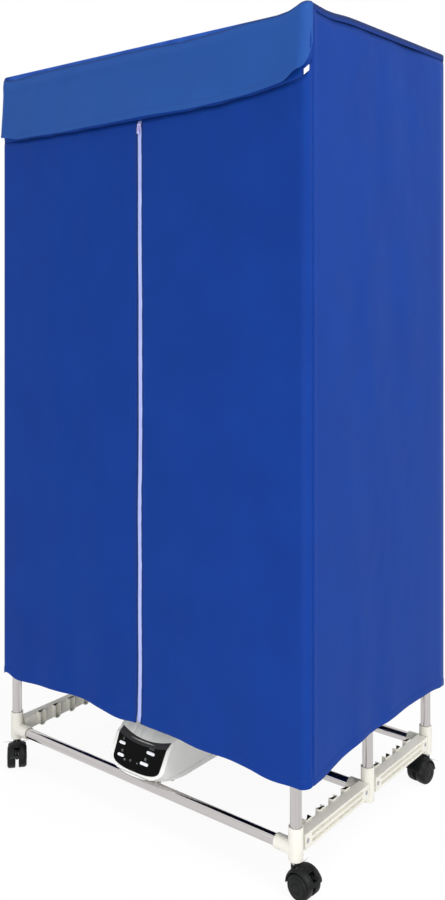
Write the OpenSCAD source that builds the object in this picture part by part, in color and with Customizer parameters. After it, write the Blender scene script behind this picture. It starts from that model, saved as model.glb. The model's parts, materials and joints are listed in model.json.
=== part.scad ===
// Electric clothes drying rack: a tube frame on four castors, a warm air heater
// on the base tubes and a hanging cloth cover with a zipped front.
// X runs along the front, the front faces -Y, and the floor is at Z = 0.

/* [Frame] */
// Distance between the left and right posts, axis to axis
post_pitch_x = 670; // [600:1:740]
// Distance between the front and rear posts, axis to axis
post_pitch_y = 450; // [430:1:500]
// Height of the top of the frame above the floor
frame_h = 1372; // [1250:1:1500]
// Height of the middle level above the floor
middle_z = 720; // [640:1:800]
// Height of the base tubes' axes above the floor
base_z = 69; // [69:0.5:76]
// Outer diameter of the posts and cross tubes
tube_d = 19; // [17:0.5:20]
// Wall of the posts and cross tubes
tube_wall = 0.6; // [0.5:0.1:1.2]

/* [Connectors] */
// Outer diameter of the moulded sockets
socket_d = 24; // [23:0.5:25]
// Reach of a socket above the tube axis
socket_up = 34.5; // [30:0.5:42]
// Height of the middle base sockets above the cross tube's axis
mid_socket_up = 42; // [36:0.5:48]
// Reach of a base socket below the tube axis
socket_down = 17.5; // [16.5:0.5:19]
// Length of a connector's arm from the post's axis
arm_len = 36; // [32:1:45]
// Distance from the post's axis at which a cross tube stops
arm_stop = 13; // [12.5:0.5:15]
// Depth of the castor stem's socket
stem_socket_depth = 22; // [20:0.5:23]
// Thickness of the web that closes a socket
socket_web = 3; // [2:0.5:4]
// Height of a top connector above its tube axis
top_cap = 14; // [13:0.5:17]

/* [Side bars] */
// Width of a side bar
bar_w = 20; // [18:0.5:21]
// Height of a side bar
bar_h = 24; // [23:0.5:28]
// Height of the tube axis above a side bar's underside
bar_drop = 6; // [5:0.5:7]
// Height of the tube axis above a top side bar's underside
top_bar_drop = 18; // [17:0.5:20]
// Spacing of the rod cradles
cradle_pitch = 40; // [34:1:42]
// Number of cradles on a side bar
cradle_count = 4; // [3:1:4]
// Height of a cradle's centre above the bar's underside
cradle_z = 8; // [7.5:0.5:9]
// Wall of a cradle
cradle_wall = 2.2; // [1.6:0.1:2.8]
// Reach of a cradle from the bar's inner face
cradle_reach = 8; // [6:0.5:10]
// Height of the cradle tips above the bar's top
cradle_tip = 3; // [2:0.5:4]
// Length of the solid end of a side bar
bar_end = 20; // [18:1:24]
// Depth of the two long slots in a side bar
slot_depth = 5; // [3:0.5:6]
// Height of each long slot
slot_h = 6; // [5:0.5:6.5]
// Diameter of the hanging rods
rod_d = 12; // [10:0.5:12.5]
// Wall of the hanging rods
rod_wall = 0.6; // [0.5:0.1:1]

/* [Castors] */
// Diameter of a castor wheel
wheel_d = 41.5; // [38:0.5:42]
// Width of one castor wheel
wheel_w = 16; // [14:0.5:17]
// Distance from the swivel axis back to the axle
trail = 16; // [14:0.5:18]
// Thickness of the castor's middle web
web_t = 5; // [4:0.5:6]
// Outer radius of the castor's hood about the axle
hood_r = 26.5; // [25.5:0.5:27]
// Width of the hood
hood_w = 35; // [32:0.5:36]
// Diameter of the axle
axle_d = 5; // [4:0.5:6]
// Diameter of the castor stem
stem_d = 8; // [7:0.5:9]
// Diameter of the stem's grip in the connector
grip_d = 11; // [10:0.5:12]
// Diameter of the castor's neck
neck_d = 16; // [15:0.5:18]
// Castor directions, in degrees from +X, in the order
// front left, front right, rear left, rear right
castor_turn = [-40, -5, 127, 261];

/* [Heater] */
// Half of the heater's width
heater_half = 65; // [61:1:70]
// Height of the heater above its base
heater_h = 86; // [82:1:96]
// Wall of the heater's shells
shell_wall = 2.5; // [2:0.1:3]
// Height of the split between the shells above the heater's base
split_h = 9; // [8:0.5:10]
// Gap between the base tubes and the heater's base
rest_gap = 0.3; // [0.1:0.1:0.5]
// Distance from the front tube's axis forward to the panel's lower corners
nose_reach = 10.3; // [9:0.1:12]
// Distance from the mid tube's axis back to the heater's rear
heater_back = 14; // [12:1:20]
// Slope of the control panel in degrees
panel_tilt = 63; // [60:0.5:66]
// Half of the control panel's width at the bottom
panel_half_low = 55.5; // [50:0.5:56.5]
// Half of the control panel's width at the top
panel_half_top = 58; // [53:0.5:59]
// Length of the control panel up the slope, at its ends
panel_len = 53.6; // [50:0.2:56]
// Bulge of the panel's lower edge and hollow of its upper edge
panel_bow = 10.6; // [7:0.2:11]
// Distance up the slope to the ends of the line where the bevel begins
bevel_at = 41.5; // [38:0.5:43]
// Slope of the bevel back from the panel in degrees
bevel_turn = 30; // [24:1:34]
// Hollow of the line where the bevel begins
bevel_bow = 8; // [5:0.5:9]
// Depth of the nose's rounded lower edge
nose_round = 30; // [27:0.5:32]
// Thickness of the control panel
panel_t = 2; // [1.6:0.1:2.4]
// Width of a control button on the left
button_w = 14.6; // [12:0.2:16]
// Width of a control button on the right
button_w_right = 18.6; // [14:0.2:20]
// Height of a control button
button_h = 5; // [4:0.2:6]
// How far a button stands out of the panel
button_out = 1.2; // [1:0.1:1.6]
// Travel of a button
button_travel = 0.8; // [0.5:0.1:0.8]
// Places of the four buttons on the panel, across and up the slope
button_at = [[-42.6, 26.4], [-38.4, 6.9], [26.3, 26.4], [18.6, 6.9]];
// Distance of the fan's axis behind the front tube's axis
fan_y = 140; // [135:1:150]
// Diameter of the fan wheel
fan_d = 104; // [90:1:108]
// Height of the fan blades
blade_h = 16; // [12:0.5:17]
// Number of fan blades
blade_count = 14; // [10:1:18]
// Diameter of the fan motor
motor_d = 44; // [38:1:50]
// Height of the fan motor
motor_h = 26; // [22:1:28]
// Diameter of the motor shaft
shaft_d = 4; // [3:0.5:5]
// Diameter of the outlet grille
grille_d = 100; // [90:1:106]
// Diameter of the cable hole through the inlet gland
gland_bore = 7; // [6:0.5:8]

/* [Cover] */
// Thickness of the cloth solids
cloth_t = 1.2; // [1:0.1:1.4]
// Distance from the side posts' axes out to the cover's inside
side_gap = 30; // [27:0.5:36]
// Distance from the front posts' axes out to the cover's inside
front_gap = 13; // [12.8:0.2:16]
// Distance from the rear posts' axes out to the cover's inside
back_gap = 24; // [20:0.5:30]
// Inner radius of the cover's corners
corner_r = 13; // [12:0.5:14]
// Height of the flap's lower edge below the frame's top
flap_h = 132; // [110:1:150]
// Gap between the flap's edge and the doors below it
flap_gap = 2; // [1.5:0.5:4]
// Width of the whole zip
zip_w = 9.6; // [9:0.2:11]
// Distance of the zip to the right of the middle
zip_x = 10; // [0:1:16]
// How far the cloth hangs inward along the zip
zip_sag = 5; // [2:0.5:6]
// Depth of the cloth's small folds
fold_depth = 4; // [1:0.5:5]

/* [Hidden] */
$fn = 64;
// Radial clearances: tubes in sockets, running pins, loose parts, side to side
socket_clear = 0.15;
run_clear = 0.05;
part_clear = 0.3;

post_x = post_pitch_x / 2;
post_y = post_pitch_y / 2;
top_z = frame_h - top_cap;
socket_bore = tube_d / 2 + socket_clear;
post_seat = -socket_down + stem_socket_depth + socket_web;
middle_web = socket_web / 2;
bar_stop = socket_d / 2 + part_clear;
bar_len = post_y - 2 * bar_stop;
tongue_w = 10;
tongue_h = 13;
tongue_len = 13;
tongue_lift = 5;
screw_at = 8;
screw_d = 4;
screw_head_d = 7;
screw_head_h = 2;
rod_r = rod_d / 2;
cradle_r = rod_r + part_clear;
castor_xy = [[-post_x, -post_y], [post_x, -post_y], [-post_x, post_y], [post_x, post_y]];

// FRAME

// A socket with its arm toward the middle of the rack. Its origin is on the post's
// axis at the height of the cross tube.
module base_connector(x, y, bars, up = socket_up) {
    side = sign(x);
    difference() {
        union() {
            translate([x, y, base_z - socket_down])
                cylinder(h = socket_down + up, d = socket_d);
            translate([x, y, base_z])
                rotate([0, -90 * side, 0]) cylinder(h = arm_len, d = socket_d);
            for (dir = bars)
                translate([x, y, base_z - bar_drop]) tongue(dir);
        }
        translate([x, y, base_z + post_seat])
            cylinder(h = up, r = socket_bore);
        translate([x, y, base_z - socket_down - 1])
            cylinder(h = stem_socket_depth + 1, r = grip_d / 2 + run_clear);
        translate([x - side * arm_stop, y, base_z])
            rotate([0, -90 * side, 0]) cylinder(h = arm_len, r = socket_bore);
    }
}

// The tab that enters the hollow end of a side bar. Its origin is on the post's
// axis at the height of the bar's underside.
module tongue(dir) {
    rotate([0, 0, dir > 0 ? 0 : 180])
        difference() {
            translate([-tongue_w / 2, socket_bore + 0.5, tongue_lift])
                cube([tongue_w, bar_stop - socket_bore - 0.5 + tongue_len, tongue_h]);
            for (side = [-1, 1])
                translate([side * tongue_w / 2, bar_stop + screw_at, bar_h / 2])
                    rotate([0, 90, 0])
                        cylinder(h = tongue_w, d = screw_d, center = true, $fn = 32);
        }
}

module base_mid_connectors() {
    color("antiquewhite")
        for (x = [-post_x, post_x])
            base_connector(x, 0, [-1, 1], mid_socket_up);
}

// Middle level: a sleeve that takes the lower post from below and the upper post
// from above.
module middle_connector(x, y, bars) {
    difference() {
        union() {
            translate([x, y, middle_z - socket_up])
                cylinder(h = 2 * socket_up, d = socket_d);
            for (dir = bars)
                translate([x, y, middle_z - bar_drop]) tongue(dir);
        }
        for (flip = [0, 1])
            translate([x, y, middle_z])
                mirror([0, 0, flip])
                    translate([0, 0, middle_web])
                        cylinder(h = socket_up, r = socket_bore);
    }
}

module middle_connectors() {
    color("antiquewhite")
        for (x = [-post_x, post_x]) {
            middle_connector(x, -post_y, [1]);
            middle_connector(x, 0, [-1, 1]);
            middle_connector(x, post_y, [-1]);
        }
}

module top_connector(x, y, bars) {
    side = sign(x);
    difference() {
        union() {
            translate([x, y, top_z - socket_up])
                cylinder(h = socket_up + top_cap, d = socket_d);
            translate([x, y, top_z])
                rotate([0, -90 * side, 0]) cylinder(h = arm_len, d = socket_d);
            for (dir = bars)
                translate([x, y, top_z - top_bar_drop]) tongue(dir);
        }
        translate([x, y, top_z - post_seat - socket_up])
            cylinder(h = socket_up, r = socket_bore);
        translate([x - side * arm_stop, y, top_z])
            rotate([0, -90 * side, 0]) cylinder(h = arm_len, r = socket_bore);
    }
}

module top_connectors() {
    color("antiquewhite")
        for (x = [-post_x, post_x]) {
            top_connector(x, -post_y, [1]);
            top_connector(x, 0, [-1, 1]);
            top_connector(x, post_y, [-1]);
        }
}

// A tube of the given length that stands on its origin.
module tube(h, d = tube_d, wall = tube_wall) {
    difference() {
        cylinder(h = h, d = d);
        translate([0, 0, -1]) cylinder(h = h + 2, d = d - 2 * wall);
    }
}

module cross_tubes(z) {
    color("silver")
        for (y = [-post_y, 0, post_y])
            translate([arm_stop - post_x, y, z])
                rotate([0, 90, 0]) tube(post_pitch_x - 2 * arm_stop);
}

module posts(low, high) {
    color("silver")
        for (x = [-post_x, post_x], y = [-post_y, 0, post_y])
            translate([x, y, low]) tube(high - low);
}

module lower_posts() {
    posts(base_z + post_seat, middle_z - middle_web);
}

module upper_posts() {
    posts(middle_z + middle_web, top_z - post_seat);
}

// A side bar from one connector to the next. It lies along +Y from its origin, with
// its outer face toward +X, and carries open cradles for rods on its inner face.
module side_bar() {
    step = (bar_len - (cradle_count - 1) * cradle_pitch) / 2;
    slot_len = bar_len - 2 * bar_end;
    slot_gap = (bar_h - 2 * slot_h) / 3;
    difference() {
        union() {
            translate([-bar_w / 2, 0, 0]) cube([bar_w, bar_len, bar_h]);
            for (i = [0 : cradle_count - 1])
                translate([-bar_w / 2, step + i * cradle_pitch, cradle_z]) cradle();
        }
        for (slot_z = [slot_gap, 2 * slot_gap + slot_h])
            translate([bar_w / 2 - slot_depth, bar_end, slot_z])
                cube([slot_depth + 1, slot_len, slot_h]);
        for (end = [0, 1])
            translate([0, end * bar_len, 0])
                mirror([0, end, 0]) bar_end_cuts();
    }
    for (i = [1 : 3])
        translate([bar_w / 2 - slot_depth, bar_end + slot_len * i / 4 - 0.75, slot_gap])
            cube([slot_depth - 1, 1.5, slot_h]);
}

module bar_end_cuts() {
    translate([-tongue_w / 2 - part_clear, -1, tongue_lift - part_clear])
        cube([tongue_w + 2 * part_clear, tongue_len + 1.5, tongue_h + 2 * part_clear]);
    translate([0, screw_at, bar_h / 2]) rotate([0, 90, 0]) {
        cylinder(h = bar_w, d = screw_d + 2 * socket_clear, $fn = 32);
        translate([0, 0, bar_w / 2 - screw_head_h])
            cylinder(h = bar_w, d = screw_head_d + 2 * part_clear, $fn = 32);
    }
}

// An open U that a rod drops into. It grows toward -X from the bar's inner face.
module cradle() {
    outer = cradle_r + cradle_wall;
    rise = bar_h - cradle_z + cradle_tip;
    difference() {
        translate([-cradle_reach, 0, 0]) rotate([0, 90, 0]) {
            cylinder(h = cradle_reach + 0.5, r = outer);
            translate([-rise, -outer, 0]) cube([rise, 2 * outer, cradle_reach + 0.5]);
        }
        translate([-cradle_reach - 1, 0, 0]) rotate([0, 90, 0]) {
            cylinder(h = cradle_reach + 1, r = cradle_r);
            translate([-rise - 1, -cradle_r, 0])
                cube([rise + 1, 2 * cradle_r, cradle_reach + 1]);
        }
    }
}

module bar_pair(side, z) {
    color("antiquewhite")
        for (y = [-post_y + bar_stop, bar_stop])
            translate([side * post_x, y, z])
                mirror([side > 0 ? 0 : 1, 0, 0]) side_bar();
}

module base_side_bars() {
    for (side = [-1, 1])
        bar_pair(side, base_z - bar_drop);
}

module middle_side_bars() {
    for (side = [-1, 1])
        bar_pair(side, middle_z - bar_drop);
}

module top_side_bars() {
    for (side = [-1, 1])
        bar_pair(side, top_z - top_bar_drop);
}

// Rods that lie across the rack in facing cradles, in every other cradle of the
// middle and the top side bars.
module hanging_rods() {
    step = (bar_len - (cradle_count - 1) * cradle_pitch) / 2;
    rod_half = post_x - bar_w / 2 - 1;
    color("silver")
        for (bar_z = [middle_z - bar_drop, top_z - top_bar_drop],
             start = [-post_y + bar_stop, bar_stop], i = [0 : 2 : cradle_count - 1])
            translate([-rod_half, start + step + i * cradle_pitch, bar_z + cradle_z])
                rotate([0, 90, 0]) tube(2 * rod_half, rod_d, rod_wall);
}

// The screws that hold each side bar's end to its connector.
module bar_screws() {
    shank = bar_w / 2 + tongue_w / 2 - screw_head_h - 0.5;
    color("gray")
        for (side = [-1, 1],
             z = [base_z - bar_drop, middle_z - bar_drop, top_z - top_bar_drop],
             y = [-post_y + bar_stop + screw_at, -bar_stop - screw_at,
                  bar_stop + screw_at, post_y - bar_stop - screw_at])
            translate([side * (post_x + bar_w / 2), y, z + bar_h / 2])
                rotate([0, -90 * side, 0]) {
                    cylinder(h = screw_head_h, d = screw_head_d, $fn = 32);
                    cylinder(h = screw_head_h + shank, d = screw_d - 2 * socket_clear,
                             $fn = 32);
                }
}

// CASTORS

axle_z = wheel_d / 2;
neck_top = base_z - socket_down - 5.5;
wheel_gap = web_t / 2 + 0.6;
wheel_room = wheel_d / 2 + 1.2;

// Puts a castor's part, drawn with its swivel axis at the origin and its wheels
// trailing along +X, at castor number i.
module castor_place(i) {
    translate([castor_xy[i][0], castor_xy[i][1], 0])
        rotate([0, 0, castor_turn[i]]) children();
}

// The stem ends just clear of the wheels.
stem_low = axle_z + sqrt(pow(wheel_room, 2) - pow(trail - stem_d / 2, 2)) + part_clear;

module castor_stems() {
    collar = base_z - socket_down - neck_top;
    color("silver")
        for (at = castor_xy)
            translate([at[0], at[1], 0]) {
                translate([0, 0, stem_low]) cylinder(h = neck_top + 1 - stem_low, d = stem_d);
                translate([0, 0, neck_top + run_clear])
                    cylinder(h = collar - run_clear, d = neck_d - 1);
                translate([0, 0, neck_top + collar])
                    cylinder(h = stem_socket_depth - 1, d = grip_d);
            }
}

module hood(brake) {
    color("dimgray")
        difference() {
            union() {
                intersection() {
                    hood_ring();
                    hood_sector();
                }
                intersection() {
                    translate([trail, 0, axle_z]) rotate([90, 0, 0])
                        cylinder(h = web_t, r = hood_r - 1, center = true);
                    hood_sector();
                }
                translate([trail, 0, axle_z]) rotate([90, 0, 0])
                    cylinder(h = web_t, r = axle_d / 2 + 4, center = true);
                difference() {
                    translate([0, 0, axle_z]) cylinder(h = neck_top - axle_z, d = neck_d);
                    wheel_spaces();
                }
            }
            translate([trail, 0, axle_z]) rotate([90, 0, 0])
                cylinder(h = web_t + 2, d = axle_d, center = true, $fn = 32);
            translate([0, 0, stem_low - 1])
                cylinder(h = neck_top, r = stem_d / 2 + run_clear, $fn = 32);
            if (brake) brake_slot();
        }
}

// The hood's crowned shell round both wheels.
module hood_ring() {
    half = hood_w / 2;
    translate([trail, 0, axle_z]) rotate([90, 0, 0])
        rotate_extrude()
            polygon([[wheel_room, -half], [hood_r - 3, -half], [hood_r - 1, -half + 3],
                     [hood_r, -half + 8], [hood_r, half - 8], [hood_r - 1, half - 3],
                     [hood_r - 3, half], [wheel_room, half]]);
}

// The part of the circle that the hood covers: all above the axle, save the lowest
// part of the trailing side.
module hood_sector() {
    reach = 2 * hood_r;
    lift = 15;
    translate([trail, hood_w, axle_z]) rotate([90, 0, 0])
        linear_extrude(2 * hood_w)
            polygon([[0, 0], [reach, reach * tan(lift)], [reach, reach], [-reach, reach],
                     [-reach, 0]]);
}

module wheel_spaces() {
    for (side = [-1, 1])
        translate([trail, side * (web_t / 2 + hood_w / 2), axle_z]) rotate([90, 0, 0])
            cylinder(h = hood_w, r = wheel_room, center = true);
}

// The brake lever's pin lies across the hood at this angle above the axle.
lever_turn = 43;
// The lever's rise above level when released, and how far it swings down to brake
lever_rise = 15.5;
lever_swing = 30;
lever_w = 9;
lever_t = 2.6;
lever_pin_d = 2.4;
lever_pin_len = lever_w + 4;
lever_pin_r = (wheel_room + hood_r) / 2;
lever_tab = 14;
cam_r = 2.4;
cam_off = lever_pin_r - cam_r - wheel_d / 2 - run_clear;

// Puts its children on the brake lever's pin.
module at_lever_pin() {
    translate([trail + lever_pin_r * cos(lever_turn), 0,
               axle_z + lever_pin_r * sin(lever_turn)])
        children();
}

module brake_slot() {
    at_lever_pin() {
        rotate([0, -lever_turn, 0])
            translate([-6, -lever_w / 2 - part_clear, -6.5])
                cube([hood_r, lever_w + 2 * part_clear, 13]);
        rotate([90, 0, 0])
            cylinder(h = lever_pin_len + 2 * part_clear, r = lever_pin_d / 2 + run_clear,
                     center = true, $fn = 32);
    }
}

module axle() {
    color("silver")
        translate([trail, 0, axle_z]) rotate([90, 0, 0])
            cylinder(h = 2 * (wheel_gap + wheel_w - 3), d = axle_d, center = true, $fn = 32);
}

// A wheel with a domed outer face. side is +1 for the wheel on the castor's left.
module wheel(side) {
    r = wheel_d / 2;
    color("darkslategray")
        translate([trail, side * wheel_gap, axle_z]) rotate([-90 * side, 0, 0])
            difference() {
                rotate_extrude()
                    polygon([[0, 0], [r - 1, 0], [r, 1], [r, wheel_w - 5],
                             [r - 1, wheel_w - 2.2], [r - 3, wheel_w - 0.6],
                             [r - 6, wheel_w], [0, wheel_w]]);
                translate([0, 0, -1])
                    cylinder(h = wheel_w - 1.5, r = axle_d / 2 + run_clear, $fn = 32);
                rotate_extrude()
                    polygon([[axle_d / 2 + 4, -1], [r - 4, -1], [r - 4, wheel_w - 4],
                             [axle_d / 2 + 4, wheel_w - 4]]);
            }
}

// A pedal in the hood's slot. Pressed down, its cam closes on both treads.
module brake_lever() {
    color("dimgray")
        at_lever_pin() {
            rotate([90, 0, 0])
                cylinder(h = lever_pin_len, d = lever_pin_d, center = true, $fn = 32);
            rotate([0, -lever_rise, 0])
                translate([0, -lever_w / 2, -lever_t / 2]) cube([lever_tab, lever_w, lever_t]);
            rotate([0, -lever_turn - 180 - lever_swing, 0])
                translate([cam_off, 0, 0]) rotate([90, 0, 0])
                    cylinder(h = lever_w, r = cam_r, center = true, $fn = 32);
        }
}

// HEATER

heater_z = base_z + tube_d / 2 + rest_gap;
fan_at = -post_y + fan_y;
split_z = heater_z + split_h;
// Height and place of the control panel's lower corners, on the slope
panel_z = heater_z + 22;
panel_y = -post_y - nose_reach;
// Height up the slope at which the nose's sides and the panel's begin to round in
nose_side = 12;
panel_side = 6;
rear_round = 12;

// Side outline of the heater at the given inset from the outer face, as [y, z].
function heater_side(inset) =
    let (low = heater_z + inset,
         high = heater_z + heater_h - inset,
         face = panel_y + inset / sin(panel_tilt),
         rear = heater_back - inset)
    [[face + (low - panel_z) / tan(panel_tilt), low],
     [face + (high - panel_z) / tan(panel_tilt), high],
     [rear - 10, high], [rear - 3, high - 3], [rear, high - 10], [rear, low + 5],
     [rear - 5, low]];

// The heater's solid form at an inset from its outer face: its side outline, its
// plan, its nose seen square to the panel, and the hollow slope above the bevel line.
module heater_block(inset) {
    high = 2 * heater_h;
    intersection() {
        rotate([90, 0, 90]) linear_extrude(3 * heater_half, center = true)
            polygon(heater_side(inset));
        translate([0, 0, heater_z - high / 2]) linear_extrude(2 * high)
            rounded_plan(heater_half - inset, panel_y - high, heater_back - inset,
                         rear_round - inset);
        at_panel() translate([0, 0, -4 * high]) linear_extrude(5 * high)
            polygon(nose_outline(inset, high));
        at_bevel() translate([0, 0, -inset]) rotate([90, 0, 0])
            linear_extrude(8 * high, center = true) polygon(bevel_cut(high));
    }
}

// The nose seen square to the panel: straight sides above a rounded lower edge.
function nose_outline(inset, high) =
    let (half = heater_half - inset, n = 16)
    concat(
        [for (i = [-n : n]) [half * sin(90 * i / n),
                             nose_side - (nose_round - inset) * round_in(i / n, 2.4)]],
        [[half, 2 * high], [-half, 2 * high]]);

// The fall of a rounded edge, from 1 in its middle to 0 at t = -1 and 1.
function round_in(t, power) =
    pow(max(0, 1 - pow(abs(sin(90 * t)), power)), 1 / power);

// What lies under the slope above the bevel line, seen along that slope.
function bevel_cut(high) =
    let (n = 8)
    concat([[-high, -4 * high], [high, -4 * high], [high, 0]],
           [for (i = [n : -1 : -n])
               [panel_half_top * i / n,
                -bevel_bow * sin(bevel_turn) * (1 - pow(i / n, 2))]],
           [[-high, 0]]);

// A rectangle with rounded corners, from -half to half and from front to back.
module rounded_plan(half, front, back, r) {
    translate([-half + r, front]) square([2 * (half - r), back - front]);
    translate([-half, front + r]) square([2 * half, back - front - 2 * r]);
    for (x = [-half + r, half - r], y = [front + r, back - r])
        translate([x, y]) circle(r = r);
}

// All of the heater between two heights.
module between(low, high) {
    translate([-2 * heater_half, -2 * post_y, low])
        cube([4 * heater_half, 4 * post_y, high - low]);
}

floor_z = heater_z + shell_wall;
screw_x = heater_half - 10;
screw_front = 27;
screw_rear = 22;
screw_places = [[-screw_x, -post_y + screw_front], [screw_x, -post_y + screw_front],
                [-screw_x, -screw_rear], [screw_x, -screw_rear]];
boss_d = 9;

module heater_lower_shell() {
    color("ivory")
        difference() {
            union() {
                intersection() {
                    difference() {
                        heater_block(0);
                        heater_block(shell_wall);
                    }
                    between(heater_z - 1, split_z);
                }
                for (at = screw_places)
                    translate([at[0], at[1], floor_z - 0.5])
                        cylinder(h = split_z - floor_z + 0.5, d = boss_d, $fn = 32);
                translate([0, fan_at, floor_z - 0.5]) motor_seat();
                for (x = [-saddle_x, saddle_x]) {
                    translate([x, -post_y, 0]) saddle(0);
                    translate([x, 0, 0]) saddle(1);
                }
            }
            for (at = screw_places)
                translate([at[0], at[1], heater_z - 1])
                    cylinder(h = split_h + 2, d = screw_d + 2 * socket_clear, $fn = 32);
            intake_slots();
        }
}

module motor_seat() {
    difference() {
        cylinder(h = 4.5, d = motor_d + 5);
        translate([0, 0, -1]) cylinder(h = 7, d = motor_d + 2 * part_clear);
    }
}

// Two rows of air slots in the floor, one on each side of the motor.
module intake_slots() {
    slot_l = 20;
    for (i = [-4 : 4], side = [-1, 1])
        translate([side * (motor_d / 2 + 6 + slot_l / 2), fan_at + 8 * i, heater_z])
            cube([slot_l, 4, 2 * shell_wall + 2], center = true);
}

saddle_x = 40;

// A rib under the heater that hooks over a base tube: behind it, and before it as
// well where front is 1.
module saddle(front) {
    w = 5;
    reach = tube_d / 2 + 2.5;
    drop = 5;
    difference() {
        translate([-w / 2, -front * reach, heater_z - rest_gap - drop])
            cube([w, (1 + front) * reach, drop + rest_gap + 0.5]);
        translate([0, 0, base_z]) rotate([0, 90, 0])
            cylinder(h = w + 2, r = tube_d / 2 + rest_gap, center = true);
    }
}

// The heater's upper shell with the panel's recess, the outlet, the element's
// ledges and the gland's hole.
module heater_upper_shell() {
    top = heater_z + heater_h;
    color("ivory")
        difference() {
            union() {
                intersection() {
                    difference() {
                        heater_block(0);
                        heater_block(shell_wall);
                    }
                    between(split_z, top + 1);
                }
                for (at = screw_places)
                    translate([at[0], at[1], split_z]) {
                        cylinder(h = 12, d = boss_d, $fn = 32);
                        translate([at[0] > 0 ? 0 : -8, -2, 0]) cube([8, 4, 12]);
                    }
                for (side = [-1, 1])
                    translate([side * (heater_half - shell_wall - 3), fan_at, element_z - 2])
                        cube([7, element_l + 4, 4], center = true);
            }
            for (at = screw_places)
                translate([at[0], at[1], split_z - 1])
                    cylinder(h = 12, d = screw_d - 2 * socket_clear, $fn = 32);
            difference() {
                panel_prism(part_clear);
                heater_block(panel_t - panel_proud);
            }
            panel_prism(-panel_ledge);
            translate([0, fan_at, top - shell_wall - 1])
                cylinder(h = shell_wall + 2, d = grille_d + 2 * part_clear);
            translate([0, fan_at, top - grille_flange])
                cylinder(h = shell_wall, d = grille_d + 8 + 2 * part_clear);
            translate([gland_x, heater_back + 1, gland_z]) rotate([90, 0, 0])
                cylinder(h = shell_wall + 3, d = gland_d + 2 * socket_clear);
        }
}

grille_flange = 1.5;
element_l = 92;
element_drop = 28;
element_z = heater_z + heater_h - element_drop;
gland_d = 14;
gland_x = -35;
gland_rise = 38;
gland_z = heater_z + gland_rise;

// Puts its children on the sloped face: x runs across the panel, y runs up the
// slope from the panel's lower corners, and z runs out of the face.
module at_panel() {
    translate([0, panel_y, panel_z]) rotate([panel_tilt, 0, 0]) children();
}

// The same on the slope above the ends of the bevel line, with y up that slope.
module at_bevel() {
    at_panel() translate([0, bevel_at, 0]) rotate([-bevel_turn, 0, 0]) children();
}

// How far the panel stands out of the shell, and the ledge that it rests on
panel_proud = 0.4;
panel_ledge = 4;

// The panel's outline, grown by an amount: a bulging lower edge with rounded
// corners, leaning sides and a hollow upper edge.
function panel_outline(grow) =
    let (low = panel_half_low + grow, high = panel_half_top + grow, n = 12,
         deep = panel_bow + panel_side + grow)
    concat(
        [for (i = [-n : n])
            [low * sin(90 * i / n), panel_side - deep * round_in(i / n, 2.6)]],
        [for (i = [n : -1 : -n])
            [high * i / n, panel_len + grow - panel_bow * (1 - pow(i / n, 2))]]);

// What lies before the panel's outline, and behind it as far as its bevel falls.
module panel_prism(grow) {
    before = 5;
    behind = (panel_len - bevel_at) * tan(bevel_turn) + shell_wall + panel_t;
    at_panel() translate([0, 0, -behind])
        linear_extrude(before + behind) polygon(panel_outline(grow));
}

module lozenge(w, h) {
    translate([-(w - h) / 2, -h / 2]) square([w - h, h]);
    for (x = [-(w - h) / 2, (w - h) / 2])
        translate([x, 0]) circle(d = h, $fn = 32);
}

board_drop = 9.4;
board_t = 1.6;
board_half = panel_half_low - 5.5;
board_posts = [[-24, 30], [45, 30], [-14, 3], [42, 4]];

function button_width(i) = button_at[i][0] < 0 ? button_w : button_w_right;

// The black panel with its button holes and the posts that hold the board.
module control_panel() {
    color("#141416") {
        difference() {
            intersection() {
                panel_prism(0);
                heater_block(-panel_proud);
            }
            heater_block(panel_t - panel_proud);
            at_panel()
                for (i = [0 : 3])
                    translate([button_at[i][0], button_at[i][1], -panel_t])
                        linear_extrude(2 * panel_t)
                            lozenge(button_width(i) + 2 * part_clear,
                                    button_h + 2 * part_clear);
        }
        at_panel()
            for (at = board_posts)
                translate([at[0], at[1], -board_drop])
                    cylinder(h = board_drop - panel_t + panel_proud + 0.2, d = 5,
                             $fn = 32);
    }
}

switch_h = 3.6;

module circuit_board() {
    color("darkgreen")
        at_panel() {
            translate([-board_half, -2, -board_drop - board_t])
                cube([2 * board_half, bevel_at - 4.5, board_t]);
            for (at = button_at)
                translate([at[0] - 3, at[1] - 3, -board_drop - 0.2])
                    cube([6, 6, switch_h + 0.2]);
        }
}

// A button: a cap in the panel's hole, a flange behind the panel and a stem that
// stops short of its switch by the travel.
module button(i) {
    w = button_width(i);
    flange_z = panel_proud - panel_t - part_clear - 1;
    stem_z = -board_drop + switch_h + button_travel + 0.1;
    color("white")
        at_panel() translate([button_at[i][0], button_at[i][1], 0]) {
            translate([0, 0, flange_z])
                linear_extrude(panel_proud + button_out - flange_z) lozenge(w, button_h);
            translate([0, 0, flange_z])
                linear_extrude(1) lozenge(w + 3, button_h + 3);
            translate([0, 0, stem_z])
                cylinder(h = flange_z - stem_z + 0.5, d = 3, $fn = 32);
        }
}

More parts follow.
